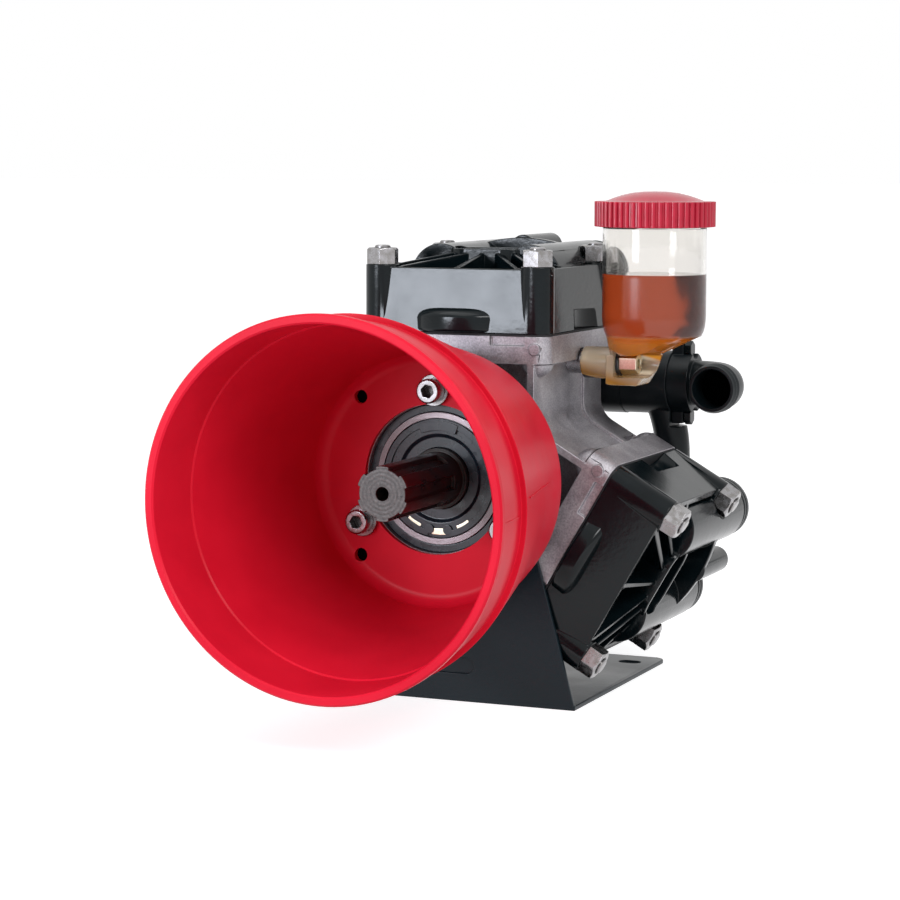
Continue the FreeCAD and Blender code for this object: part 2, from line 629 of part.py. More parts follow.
def rib(name, start, foot):
    """Thin rib from the oval boss to a wall, its top falling from the boss to the rim."""
    across = "(%s) - (%s)" % (foot[0], start[0])
    along = "(%s) - (%s)" % (foot[1], start[1])
    thing = doc.addObject("Part::Wedge", name)
    for prop in ("Xmin", "X2min"):
        bind(thing, prop, "-rib_thick / 2")
    for prop in ("Xmax", "X2max"):
        bind(thing, prop, "rib_thick / 2")
    thing.Ymin = 0
    bind(thing, "Ymax", "sqrt((%s) ^ 2 + (%s) ^ 2)" % (across, along))
    thing.Zmin = 0
    thing.Z2min = 0
    bind(thing, "Zmax", "hub_top - head_floor")
    bind(thing, "Z2max", "head_top - head_floor")
    place(thing, (start[0], "head_middle + (%s)" % start[1], "head_floor"), TURN(V(0, 0, 1), 10))
    bind(thing, "Placement.Rotation.Angle", "atan2(-(%s); %s)" % (across, along))
    return thing


def leaning(name, wide_low, wide_high, deep_low, deep_high):
    """Block on a head's foot whose sides lean in towards the rim."""
    thing = doc.addObject("Part::Wedge", name)
    for prop, formula in (("Xmin", "-" + wide_low), ("Xmax", wide_low), ("X2min", "-" + wide_high),
                          ("X2max", wide_high), ("Zmin", "-" + deep_low), ("Zmax", deep_low),
                          ("Z2min", "-" + deep_high), ("Z2max", deep_high), ("Ymax", "head_top - head_base")):
        bind(thing, prop, formula)
    thing.Ymin = 0
    return place(thing, ("0", "head_middle", "head_base"), TURN(V(1, 0, 0), 90))


def oval(name, inset, low, high):
    radius = "loop_radius - %s" % inset
    length = "%s - (%s)" % (high, low)
    ends = [cylinder("%s_end%d" % (name, k), radius, length, (side + "loop_half", "head_middle", low))
            for k, side in enumerate(SIDES)]
    middle = box(name + "_middle", ("2 * loop_half", "2 * (%s)" % radius, length),
                 ("-loop_half", "head_middle - (%s)" % radius, low))
    return fused(name, ends + [middle])


def head(key, angle):
    name = "head_" + key
    foot_reach = "(bolt_half + column_radius - wall_inset)"
    rim_reach = "(bolt_half + column_radius - wall_lean)"
    walls = fused(name + "_walls", [
        leaning(name + "_wide", foot_reach, rim_reach, "bolt_half", "bolt_half"),
        leaning(name + "_deep", "bolt_half", "bolt_half", foot_reach, rim_reach)])
    hollow = rounded_square(name + "_hollow", "(wall_lean + head_wall)", "head_floor", "(head_top + through)")
    tray = cut(name + "_tray", walls, [hollow])
    columns = [cylinder("%s_column%d" % (name, k), "column_radius", "column_top - head_base",
                        (u, "head_middle + " + y, "head_base")) for k, (u, y) in enumerate(CORNERS)]
    boss = oval(name + "_boss", "0", "(head_floor - through)", "hub_top")
    lines = [(("0", "0"), ("-rib_foot", "-" + WALL_LINE)), (("0", "0"), ("0", "-" + WALL_LINE)),
             (("0", "0"), ("rib_foot", "-" + WALL_LINE)), (("0", "0"), ("0", WALL_LINE)),
             (("-loop_half", "0"), ("-bolt_half", "-bolt_half")),
             (("loop_half", "0"), ("bolt_half", "-bolt_half")),
             (("-loop_half", "0"), ("-" + WALL_LINE, "-rib_side")),
             (("loop_half", "0"), (WALL_LINE, "-rib_side"))]
    ribs = [rib("%s_rib%d" % (name, k), start, foot) for k, (start, foot) in enumerate(lines)]
    arch_start = "head_middle + bolt_half + column_radius - arch_set - arch_thick"
    slab = box(name + "_slab", ("2 * bolt_half", "arch_thick", "arch_top - head_floor"),
               ("-bolt_half", arch_start, "head_floor"))
    bow = cylinder(name + "_bow", "arch_radius", "arch_thick",
                   ("0", arch_start, "arch_top - arch_radius"), "y")
    arch = common(name + "_arch", slab, bow)
    pin_start = arch_start + " + through"
    pin = cylinder(name + "_pin", "pin_radius", "pin_end - (%s)" % pin_start,
                   ("0", pin_start, "pin_reach"), "y")
    ports = [cylinder("%s_port%d" % (name, k), "port_radius", "port_end - cap_length + port_front",
                      (side + "port_half", "-port_front", "port_reach"), "y") for k, side in enumerate(SIDES)]
    lobe_middle = "head_middle - bolt_half - column_radius - lobe_reach + lobe_radius"
    lobe = cylinder(name + "_lobe", "lobe_radius", "lobe_height - lobe_round", ("0", lobe_middle, "lobe_low"))
    dome = cone(name + "_dome", "lobe_radius", "lobe_radius - lobe_round", "lobe_round",
                ("0", lobe_middle, "lobe_low + lobe_height - lobe_round"))
    body = fused(name + "_body", [tray, boss, arch, pin, lobe, dome] + columns + ribs + ports)
    body.Refine = False  # the faces of the leaning walls stay as they meet
    recess = oval(name + "_recess", "loop_wall", "loop_floor", "(hub_top + through)")
    dishes = [cylinder("%s_dish%d" % (name, k), "lobe_radius", "dish_high - head_base + through",
                       ("%s(bolt_half + column_radius + lobe_radius - dish_depth)" % side,
                        "head_middle + dish_middle", "head_base - through"))
              for k, side in enumerate(SIDES)]
    rooms = [cylinder("%s_room%d" % (name, k), "nut_room", "arch_top - column_top",
                      (u, "head_middle + " + y, "column_top")) for k, (u, y) in enumerate(CORNERS)]
    return at_head(cut(name, body, [recess] + dishes + rooms), angle)


def port_caps(key, angle):
    caps = []
    for k, side in enumerate(SIDES):
        rim = cylinder("caps_%s%d_rim" % (key, k), "port_radius - cap_inset", "cap_length - groove_width",
                       (side + "port_half", "port_end - cap_length + groove_width", "port_reach"), "y")
        groove = cylinder("caps_%s%d_groove" % (key, k), "port_radius - groove_inset", "groove_width",
                          (side + "port_half", "port_end - cap_length", "port_reach"), "y")
        caps.append(fused("cap_%s%d" % (key, k), [rim, groove]))
    return at_head(together("valve_caps_" + key, caps), angle)


def head_nuts(key, angle):
    nuts = []
    for k, (u, y) in enumerate(CORNERS):
        nut = hexagon("nut_%s%d_hex" % (key, k), "nut_flats", "nut_height",
                      (u, "head_middle + " + y, "column_top"))
        stud = cylinder("nut_%s%d_stud" % (key, k), "stud_radius", "nut_height + stud_proud",
                        (u, "head_middle + " + y, "column_top"))
        nuts.append(fused("nut_%s%d" % (key, k), [nut, stud]))
    return at_head(together("head_nuts_" + key, nuts), angle)


def diaphragm(key, angle):
    disc = rounded_square("diaphragm_" + key, "sheet_inset", "(head_base - sheet_thick)", "head_base")
    return at_head(disc, angle)


heads = [head(key, angle) for key, angle in HEADS]
valve_caps = [port_caps(key, angle) for key, angle in HEADS]
nuts = [head_nuts(key, angle) for key, angle in HEADS]
diaphragms = [diaphragm(key, angle) for key, angle in HEADS]

# Suction manifold: a black ring pipe behind the heads with a stub to each suction chamber and
# the inlet body at the upper right. Delivery manifold: a star on the rear cover with the outlet.


def chamber_room(name, key, angle, side):
    """Room for a valve chamber where a pipe meets it."""
    tool = cylinder("%s_%s" % (name, key), "port_radius + seat_gap", "port_end + port_front",
                    (side, "-port_front", "port_reach"), "y")
    return about_axis(together("%s_%s_turn" % (name, key), [tool]), angle)


ring = torus("suction_ring", "ring_middle", "ring_tube", ("0", "ring_plane", "0"), "y")
stubs = []
for key, angle in HEADS:
    stub = cylinder("suction_stub_" + key, "stub_radius", "port_reach - stub_start",
                    ("-port_half", "ring_plane", "stub_start"))
    stubs.append(about_axis(together("suction_stub_%s_turn" % key, [stub]), angle))
inlet = cylinder("suction_inlet", "inlet_radius", "inlet_face - inlet_start",
                 ("inlet_start", "ring_plane", "inlet_rise"), "x")
inlet_bore = cylinder("suction_bore", "hose_bore", "inlet_face - inlet_start - inlet_wall + through",
                      ("inlet_start + inlet_wall", "ring_plane", "inlet_rise"), "x")
seat_half = "(elbow_bolt_across + elbow_bolt_room)"
flange_seat = box("flange_seat", ("ring_tube", "2 * (elbow_flange_radius + seat_gap)", "2 * " + seat_half),
                  ("inlet_face", "ring_plane - elbow_flange_radius - seat_gap", "inlet_rise - " + seat_half))
suction_rooms = [chamber_room("suction_room", key, angle, "-port_half") for key, angle in HEADS]
suction_manifold = on_axis(cut("suction_manifold", fused("suction_body", [ring, inlet] + stubs),
                               [inlet_bore, flange_seat] + suction_rooms))

star_start = "cover_back + cover_rise"
star_hub = cylinder("delivery_hub", "delivery_radius", "delivery_thick", ("0", star_start, "0"), "y")
arms = []
for key, angle in HEADS:
    arm = box("delivery_arm_" + key, ("delivery_arm", "delivery_thick", "port_reach"),
              ("port_half - delivery_arm / 2", star_start, "0"))
    arms.append(about_axis(together("delivery_arm_%s_turn" % key, [arm]), angle))
outlet = cylinder("delivery_outlet", "outlet_radius", "delivery_thick + outlet_length",
                  ("0", star_start, "0"), "y")
outlet_hole = cylinder("outlet_hole", "outlet_bore", "outlet_length + through",
                       ("0", star_start + " + delivery_thick", "0"), "y")
delivery_rooms = [chamber_room("delivery_room", key, angle, "port_half") for key, angle in HEADS]
delivery_manifold = on_axis(cut("delivery_manifold", fused("delivery_body", [star_hub, outlet] + arms),
                                [outlet_hole] + delivery_rooms))

# Suction elbow: black hose tail that turns from the inlet towards the shaft end, on two screws.

elbow_x = "inlet_face + elbow_flange"
tail_x = elbow_x + " + elbow_bend"
tail_y = "ring_plane - elbow_bend - hose_tail"
inlet_z = "shaft_height + inlet_rise"
disc = cylinder("elbow_disc", "elbow_flange_radius", "elbow_flange",
                ("inlet_face", "ring_plane", inlet_z), "x")
ears = box("elbow_ears", ("ear_thick", "ear_width", "2 * ear_reach"),
           ("inlet_face", "ring_plane - ear_width / 2", inlet_z + " - ear_reach"))
bend = torus("elbow_bend_outer", "elbow_bend", "hose_outer", (elbow_x, "ring_plane - elbow_bend", inlet_z))
bend.Angle3 = 90
tail = cylinder("elbow_tail", "hose_outer", "hose_tail", (tail_x, tail_y, inlet_z), "y")
barbs = [cone("elbow_barb%d" % k, "hose_outer - barb_root", "hose_outer + barb_proud", "barb_length",
              (tail_x, tail_y + " + %d * barb_step" % k, inlet_z), "y") for k in range(2)]
disc_bore = cylinder("elbow_disc_bore", "hose_bore", "elbow_flange + through",
                     ("inlet_face - through", "ring_plane", inlet_z), "x")
bend_bore = torus("elbow_bend_inner", "elbow_bend", "hose_bore",
                  (elbow_x, "ring_plane - elbow_bend", inlet_z))
bend_bore.Angle3 = 90
tail_bore = cylinder("elbow_tail_bore", "hose_bore", "hose_tail + through",
                     (tail_x, tail_y + " - through", inlet_z), "y")
bolt_spots = [("inlet_face + ear_thick", "ring_plane", "%s %s elbow_bolt_across" % (inlet_z, sign))
              for sign in "-+"]
spot_faces = [cylinder("elbow_spot%d" % k, "elbow_bolt_room", "elbow_flange", spot, "x")
              for k, spot in enumerate(bolt_spots)]
suction_elbow = cut("suction_elbow", fused("elbow_body", [disc, ears, bend, tail] + barbs),
                    [disc_bore, bend_bore, tail_bore] + spot_faces)
elbow_bolts = together("elbow_bolts", [
    hexagon("elbow_bolt%d" % k, "elbow_bolt_flats", "elbow_bolt_height", spot, "x")
    for k, spot in enumerate(bolt_spots)])

# Oil cup: clear cup with a lopsided funnel on a horizontal bolt, with its oil, its spacer and
# a red screw cap.


def bowl(name, inset, floor, top):
    """The cup's bowl with the funnel under it, drawn in by an inset and with a raised floor."""
    barrel = upright(name + "_barrel", [
        ("0", "cup_fall"),
        ("cup_waist - %s" % inset, "cup_fall"),
        ("cup_round_radius - %s" % inset, "cup_round"),
        ("cup_radius - %s" % inset, "cup_knee"),
        ("cup_radius - %s" % inset, top),
        ("0", top),
    ], ("cup_x", "head_middle", "0"))
    rings = []
    for tag, radius, middle, height in (("low", "funnel_radius", "funnel_x", "funnel_foot + " + floor),
                                        ("high", "cup_waist", "cup_x", "cup_fall")):
        circle = doc.addObject("Part::Circle", "%s_%s" % (name, tag))
        bind(circle, "Radius", "%s - %s" % (radius, inset))
        rings.append(place(circle, (middle, "head_middle", height)))
    funnel = doc.addObject("Part::Loft", name + "_funnel")
    funnel.Sections = rings
    funnel.Solid = True
    funnel.Ruled = True
    return fused(name, [barrel, funnel])


outside = bowl("cup_outside", "0", "0", "cup_mouth")
inside = bowl("cup_inside", "cup_wall", "funnel_floor", "cup_mouth")
mouth = cylinder("cup_mouth_ring", "cup_neck", "cup_collar", ("cup_x", "head_middle", "cup_mouth"))
mouth_bore = cylinder("cup_mouth_bore", "cup_neck - cup_wall", "cup_collar + 2 * through",
                      ("cup_x", "head_middle", "cup_mouth - through"))
stem = padded("cup_stem", "XZ_Plane", [
    ("stem_left", "stem_low"),
    ("stem_foot", "stem_low"),
    ("stem_knee", "stem_low + stem_knee_rise"),
    ("stem_right", "funnel_foot"),
    ("stem_left", "funnel_foot"),
], "2 * stem_half", "-head_middle - stem_half")
tube = cylinder("cup_tube", "banjo_radius", "banjo_end - banjo_start",
                ("banjo_start", "head_middle", "banjo_rise"), "x")
tube_bore = cylinder("cup_tube_bore", "bolt_bore + bolt_gap", "banjo_end - banjo_start + 2 * through",
                     ("banjo_start - through", "head_middle", "banjo_rise"), "x")
bolt_room = cylinder("cup_bolt_room", "bolt_room", "stem_right - banjo_end + through",
                     ("banjo_end", "head_middle", "banjo_rise"), "x")
oil_cup = on_axis(cut("oil_cup", fused("cup_blank", [outside, mouth, stem, tube]),
                      [inside, mouth_bore, tube_bore, bolt_room]))
oil_limit = cylinder("oil_limit", "cap_radius", "oil_level - funnel_foot",
                     ("cup_x", "head_middle", "funnel_foot"))
oil = on_axis(common("oil", bowl("oil_inside", "(cup_wall + oil_gap)", "funnel_floor + oil_gap", "oil_level"),
                     oil_limit))
spacer_body = cylinder("spacer_body", "spacer_radius", "banjo_start - neck_half",
                       ("neck_half", "head_middle", "banjo_rise"), "x")
spacer_bore = cylinder("spacer_bore", "bolt_bore + bolt_gap", "banjo_start",
                       ("neck_half - through", "head_middle", "banjo_rise"), "x")
cup_spacer = on_axis(cut("cup_spacer", spacer_body, [spacer_bore]))
bolt_shank = cylinder("cup_bolt_shank", "bolt_bore", "banjo_end + washer_thick - neck_half",
                      ("neck_half", "head_middle", "banjo_rise"), "x")
bolt_hex = hexagon("cup_bolt_hex", "bolt_flats", "bolt_head - washer_thick",
                   ("banjo_end + washer_thick", "head_middle", "banjo_rise"), "x")
bolt_hole = cylinder("cup_bolt_hole", "bolt_key", "bolt_key_depth + through",
                     ("banjo_end + bolt_head - bolt_key_depth", "head_middle", "banjo_rise"), "x")
cup_bolt = on_axis(cut("cup_bolt", fused("cup_bolt_blank", [bolt_shank, bolt_hex]), [bolt_hole]))
cup_washer_disc = cylinder("cup_washer_disc", "cup_washer_radius", "washer_thick",
                           ("banjo_end", "head_middle", "banjo_rise"), "x")
cup_washer_hole = cylinder("cup_washer_hole", "bolt_bore + bolt_gap", "washer_thick + 2 * through",
                           ("banjo_end - through", "head_middle", "banjo_rise"), "x")
cup_washer = on_axis(cut("cup_washer", cup_washer_disc, [cup_washer_hole]))
cap_low = "cup_mouth + cap_rise"
cup_cap = upright("cup_cap", [
    ("cup_neck + cap_gap", cap_low),
    ("cap_radius", cap_low),
    ("cap_radius", cap_low + " + cap_rim"),
    ("cap_radius - cap_edge", cap_low + " + cap_rim + cap_edge_rise"),
    ("cap_crown", cap_low + " + cap_rim + cap_dome - cap_edge_rise"),
    ("0", cap_low + " + cap_rim + cap_dome"),
    ("0", "cup_mouth + cup_collar + cap_gap"),
    ("cup_neck + cap_gap", "cup_mouth + cup_collar + cap_gap"),
], ("cup_x", "head_middle", "shaft_height"))

# Foot: one bent black sheet, its front plate against the casting, with four slots in the floor plate.

floor_front = box("foot_floor_front", ("foot_width", "foot_length - foot_round", "foot_plate"),
                  ("-foot_width / 2", "casing_front - foot_plate", "0"))
floor_back = box("foot_floor_back", ("foot_width - 2 * foot_round", "foot_round", "foot_plate"),
                 ("foot_round - foot_width / 2", "casing_front - foot_plate + foot_length - foot_round", "0"))
floor_corners = [cylinder("foot_corner%d" % k, "foot_round", "foot_plate",
                          ("%s(foot_width / 2 - foot_round)" % side,
                           "casing_front - foot_plate + foot_length - foot_round", "0"))
                 for k, side in enumerate(SIDES)]
rise = padded("foot_front", "XZ_Plane", [
    ("-foot_width / 2", "0"),
    ("foot_width / 2", "0"),
    ("foot_width / 2 - foot_taper", "foot_rise"),
    ("foot_taper - foot_width / 2", "foot_rise"),
], "foot_plate", "-casing_front")
foot_cuts = [cylinder("foot_round_cut", "boss_radius + seat_gap", "foot_plate + 2 * through",
                      ("0", "casing_front - foot_plate - through", "shaft_height"), "y")]
foot_cuts.append(box("foot_notch", ("foot_notch_width - foot_notch_height", "foot_plate + 2 * through",
                                    "foot_notch_height"),
                     ("(foot_notch_height - foot_notch_width) / 2", "casing_front - foot_plate - through",
                      "foot_notch_rise - foot_notch_height / 2")))
for k, side in enumerate(SIDES):
    foot_cuts.append(cylinder("foot_notch_end%d" % k, "foot_notch_height / 2", "foot_plate + 2 * through",
                              ("%s(foot_notch_width - foot_notch_height) / 2" % side,
                               "casing_front - foot_plate - through", "foot_notch_rise"), "y"))
for k, (across, along) in enumerate(((-1, -1), (-1, 1), (1, -1), (1, 1))):
    spot = ("%d * slot_x / 2" % across, "%d * slot_y / 2" % along)
    straight = "(slot_length - slot_width)"
    foot_cuts.append(box("foot_slot%d" % k, (straight, "slot_width", "foot_plate + 2 * through"),
                         ("%s - %s / 2" % (spot[0], straight), spot[1] + " - slot_width / 2", "-through")))
    for j, sign in enumerate("-+"):
        foot_cuts.append(cylinder("foot_slot%d_end%d" % (k, j), "slot_width / 2", "foot_plate + 2 * through",
                                  ("%s %s %s / 2" % (spot[0], sign, straight), spot[1], "-through")))
foot_blank = fused("foot_blank", [floor_front, floor_back, rise] + floor_corners)
foot_bracket = cut("foot_bracket", foot_blank, foot_cuts)
foot_screws = together("foot_screws", [
    hexagon("foot_screw%d" % k, "foot_screw_flats", "foot_screw_head",
            (side + "foot_screw_across", "casing_front - foot_plate - foot_screw_head",
             "shaft_height - foot_screw_drop"), "y")
    for k, side in enumerate(SIDES)])

NODES = [crankcase, rear_cover, bearing_seat, bearing_ring, shaft_seal, pto_shaft, pto_guard,
         guard_screws, guard_washers, suction_manifold, delivery_manifold, suction_elbow, elbow_bolts,
         oil_cup, oil, cup_spacer, cup_bolt, cup_washer, cup_cap, foot_bracket, foot_screws]
NODES += heads + valve_caps + nuts + diaphragms

doc.recompute()
faults = [thing.Label for thing in doc.Objects if "Invalid" in thing.State or "Error" in thing.State]
for node in NODES:
    if node.Shape.isNull() or not node.Shape.isValid():
        faults.append(node.Label + " shape")
if faults:
    raise SystemExit("Not built: " + ", ".join(faults))

os.makedirs("parts", exist_ok=True)
for node in NODES:
    node.Shape.exportStep("parts/%s.step" % node.Label)
    print(node.Label, len(node.Shape.Solids), round(node.Shape.Volume))
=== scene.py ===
import math

import bmesh
import bpy
from mathutils import Matrix, Vector


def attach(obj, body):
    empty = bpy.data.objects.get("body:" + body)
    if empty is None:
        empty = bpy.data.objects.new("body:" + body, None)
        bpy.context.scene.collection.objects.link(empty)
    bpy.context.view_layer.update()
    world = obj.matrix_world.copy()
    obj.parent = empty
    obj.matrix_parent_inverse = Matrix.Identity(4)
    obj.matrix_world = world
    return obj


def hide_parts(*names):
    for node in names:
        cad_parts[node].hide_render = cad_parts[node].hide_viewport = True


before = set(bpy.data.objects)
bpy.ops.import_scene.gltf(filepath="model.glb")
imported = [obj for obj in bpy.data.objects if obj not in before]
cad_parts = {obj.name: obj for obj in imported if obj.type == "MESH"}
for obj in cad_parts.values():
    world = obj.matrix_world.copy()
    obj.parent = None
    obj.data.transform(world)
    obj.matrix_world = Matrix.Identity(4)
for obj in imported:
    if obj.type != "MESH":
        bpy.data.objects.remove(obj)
scene = bpy.context.scene
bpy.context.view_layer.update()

# Camera: to the right of the shaft's end and a little above it, a long lens just under two metres
# away. The frame's middle is moved by a few pixels to where the photograph has it.

CAMERA_SPOT = (0.68665, -1.72452, 0.35996)
YAW = 0.39778
PITCH = 0.10655
ROLL = 0.00305
LENS_PX = 2718.84
FRAME_PX = 900
MIDDLE_PX = (452.08, 443.94)
SENSOR = 36


def placed(name, data):
    """New object in the scene, at the origin."""
    thing = bpy.data.objects.new(name, data)
    scene.collection.objects.link(thing)
    return thing


camera_data = bpy.data.cameras.new("long_lens")
camera = placed("long_lens", camera_data)
camera_data.sensor_width = SENSOR
camera_data.lens = SENSOR * LENS_PX / FRAME_PX
camera_data.clip_start = 0.1
camera_data.clip_end = 50
forward = Vector((-math.sin(YAW) * math.cos(PITCH), math.cos(YAW) * math.cos(PITCH), -math.sin(PITCH)))
level = Vector((math.cos(YAW), math.sin(YAW), 0))
above = level.cross(forward)
right = level * math.cos(ROLL) + above * math.sin(ROLL)
above = above * math.cos(ROLL) - level * math.sin(ROLL)
aim = Matrix((right, above, -forward)).transposed().to_4x4()
camera.matrix_world = Matrix.Translation(CAMERA_SPOT) @ aim
camera_data.shift_x = (FRAME_PX / 2 - MIDDLE_PX[0]) / FRAME_PX
camera_data.shift_y = (MIDDLE_PX[1] - FRAME_PX / 2) / FRAME_PX
scene.camera = camera

# Floor and studio light: a white sweep under soft boxes, as in a catalogue picture. The sweep and
# the surroundings are plain white to the eye and keep the pump's shadow.

FLOOR_HALF = 30.0
PAPER_GLOW = 0.68
ROOM_LIGHT = 0.48
LAMPS = (("key_box", (1.5, -1.3, 1.5), (0.05, -0.05, 0.18), (0.9, 0.9), 29, "#FFFFFF"),
         ("top_box", (-0.3, -0.5, 1.9), (0, 0, 0.2), (1.6, 1.0), 8, "#FFFFFF"),
         ("front_box", (-0.7, -1.72, 0.46), (0, -0.08, 0.26), (0.56, 0.36), 17, "#EDF4FF"))


def linear(hex_colour):
    """sRGB hex to the linear colour that a shader takes."""
    parts = [int(hex_colour[k:k + 2], 16) / 255 for k in (1, 3, 5)]
    return [c / 12.92 if c <= 0.04045 else ((c + 0.055) / 1.055) ** 2.4 for c in parts] + [1.0]


def add(tree, kind, settings, links=None):
    """Adds a node with its settings, and links its inputs to other nodes' outputs."""
    node = tree.nodes.new(kind)
    for name, value in settings.items():
        if isinstance(name, int) or name[0].isupper():
            node.inputs[name].default_value = value
        else:
            setattr(node, name, value)
    for name, output in (links or {}).items():
        tree.links.new(output, node.inputs[name])
    return node


def seen_straight(tree):
    """Whether a ray comes from the camera, a mirror or glass, as all three show plain white."""
    path = add(tree, "ShaderNodeLightPath", {})
    mirrored = add(tree, "ShaderNodeMath", {"operation": "MAXIMUM"},
                   {0: path.outputs["Is Camera Ray"], 1: path.outputs["Is Glossy Ray"]})
    direct = add(tree, "ShaderNodeMath", {"operation": "MAXIMUM"},
                 {0: mirrored.outputs[0], 1: path.outputs["Is Transmission Ray"]})
    return direct.outputs[0]


floor_mesh = bpy.data.meshes.new("sweep")
floor_mesh.from_pydata([(-FLOOR_HALF, -FLOOR_HALF, 0), (FLOOR_HALF, -FLOOR_HALF, 0),
                        (FLOOR_HALF, FLOOR_HALF, 0), (-FLOOR_HALF, FLOOR_HALF, 0)], [], [(0, 1, 2, 3)])
floor = placed("sweep", floor_mesh)
paper = bpy.data.materials.new("white_paper_sweep")
paper.use_nodes = True
tree = paper.node_tree
shader = tree.nodes["Principled BSDF"]
shader.inputs["Base Color"].default_value = linear("#D8D8DA")
shader.inputs["Roughness"].default_value = 0.9
glow = add(tree, "ShaderNodeEmission", {"Color": linear("#FFFFFF"), "Strength": PAPER_GLOW})
dark = add(tree, "ShaderNodeEmission", {"Strength": 0.0})
lift = add(tree, "ShaderNodeMixShader", {}, {0: seen_straight(tree), 1: dark.outputs[0], 2: glow.outputs[0]})
both = add(tree, "ShaderNodeAddShader", {}, {0: shader.outputs[0], 1: lift.outputs[0]})
tree.links.new(both.outputs[0], tree.nodes["Material Output"].inputs["Surface"])
floor_mesh.materials.append(paper)

world = bpy.data.worlds.new("studio")
scene.world = world
world.use_nodes = True
tree = world.node_tree
room = tree.nodes["Background"]
room.inputs["Color"].default_value = linear("#FFFFFF")
room.inputs["Strength"].default_value = ROOM_LIGHT
white = add(tree, "ShaderNodeBackground", {"Color": linear("#FFFFFF"), "Strength": 1.0})
shown = add(tree, "ShaderNodeMixShader", {}, {0: seen_straight(tree), 1: room.outputs[0], 2: white.outputs[0]})
tree.links.new(shown.outputs[0], tree.nodes["World Output"].inputs["Surface"])

for name, spot, target, size, power, tint in LAMPS:
    lamp_data = bpy.data.lights.new(name, "AREA")
    lamp_data.shape = "RECTANGLE"
    lamp_data.size, lamp_data.size_y = size
    lamp_data.energy = power
    lamp_data.color = linear(tint)[:3]
    lamp = placed(name, lamp_data)
    lamp.location = spot
    lamp.rotation_euler = (Vector(target) - Vector(spot)).to_track_quat("-Z", "Y").to_euler()

# Foot: one blank of 3 mm steel sheet, cut with its slots, bent once and powder-coated black. Its
# front plate is screwed to the crankcase behind the guard. Its one slot is closed at the back by a
# thin black floor, a dark sheet that stands in for the shade behind the plate.

MM = 0.001
SHARP_EDGE = 32
SLOT_REACH = 12
SLOT_RISE = 24
SLOT_RADIUS = 5.2
SLOT_SHADE_FLOOR = (90.6, 91.6)


def new_look(name, settings):
    """A new material, with its tree, its shader and its Object coordinates."""
    look = bpy.data.materials.new(name)
    look.use_nodes = True
    tree = look.node_tree
    shader = tree.nodes["Principled BSDF"]
    for key, value in settings.items():
        shader.inputs[key].default_value = value
    return look, tree, shader, add(tree, "ShaderNodeTexCoord", {}).outputs["Object"]


def settled(thing):
    """Puts the result of an object's modifiers in its mesh, and takes them off."""
    bpy.context.view_layer.update()
    mesh = bpy.data.meshes.new_from_object(thing.evaluated_get(bpy.context.evaluated_depsgraph_get()))
    thing.modifiers.clear()
    thing.data = mesh
    return thing


def rounded(thing, radius, segments=2):
    """Rounds the sharp edges, as a mould, a tumbler or a coat of paint leaves them."""
    edges = thing.modifiers.new("edges", "BEVEL")
    edges.width = radius * MM
    edges.segments = segments
    edges.limit_method = "ANGLE"
    edges.angle_limit = math.radians(SHARP_EDGE)
    edges.use_clamp_overlap = False
    edges.miter_outer = "MITER_ARC"
    return settled(thing)


def meshed(name, build):
    """New object with the mesh that was drawn."""
    mesh = bpy.data.meshes.new(name)
    build.to_mesh(mesh)
    build.free()
    return placed(name, mesh)


def copied(node, name):
    """Copy of a solid's mesh with its triangles joined where they lie in one plane."""
    build = bmesh.new()
    build.from_mesh(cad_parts[node].data)
    bmesh.ops.remove_doubles(build, verts=build.verts, dist=0.01 * MM)
    bmesh.ops.dissolve_limit(build, angle_limit=math.radians(0.5), use_dissolve_boundaries=False,
                             verts=build.verts, edges=build.edges)
    return meshed(name, build)


def dressed(thing, look, slot, body, *nodes, smooth=38):
    """Gives a piece its material and shading, hangs it on its body and hides the solids that it stands in for.
    """
    thing.data.materials.clear()
    thing.data.materials.append(look)
    for face in thing.data.polygons:
        face.material_index = 0
    thing.data.shade_smooth()
    thing.data.set_sharp_from_angle(angle=math.radians(smooth))
    even = thing.modifiers.new("even", "WEIGHTED_NORMAL")
    even.keep_sharp = True
    settled(thing)
    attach(thing, body)
    if nodes:
        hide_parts(*nodes)
    return thing


def shaped(name, build):
    """Object from a mesh drawn in millimetres, its faces turned outwards."""
    bmesh.ops.scale(build, vec=(MM, MM, MM), verts=build.verts)
    bmesh.ops.recalc_face_normals(build, faces=build.faces)
    return meshed(name, build)


def skirt(build, low, high):
    """Faces between two rings with as many corners. A ring may be one point on the axis."""
    for k in range(len(low)):
        after = (k + 1) % len(low)
        corners = list(dict.fromkeys((low[k], low[after], high[after], high[k])))
        if len(corners) > 2:
            build.faces.new(corners)


def slab(build, outline, low, high, stand=Matrix()):
    """Flat outline in x and y with a thickness along z."""
    rings = [[build.verts.new(stand @ Vector((x, y, z))) for x, y in outline] for z in (low, high)]
    build.faces.new(rings[0][::-1])
    build.faces.new(rings[1])
    skirt(build, *rings)


def turn_about(angle, axis):
    """Turn by an angle in degrees about an axis."""
    return Matrix.Rotation(math.radians(angle), 4, axis)


def arc(middle, radius, start, end, count):
    """Points on an arc between two angles in degrees."""
    turns = [math.radians(start + (end - start) * k / count) for k in range(count + 1)]
    return [(middle[0] + radius * math.cos(t), middle[1] + radius * math.sin(t)) for t in turns]


def with_more(thing, extra):
    """Adds another object's mesh to a piece that it stands in."""
    build = bmesh.new()
    build.from_mesh(thing.data)
    build.from_mesh(extra.data)
    bpy.data.objects.remove(extra)
    build.to_mesh(thing.data)
    build.free()
    return thing


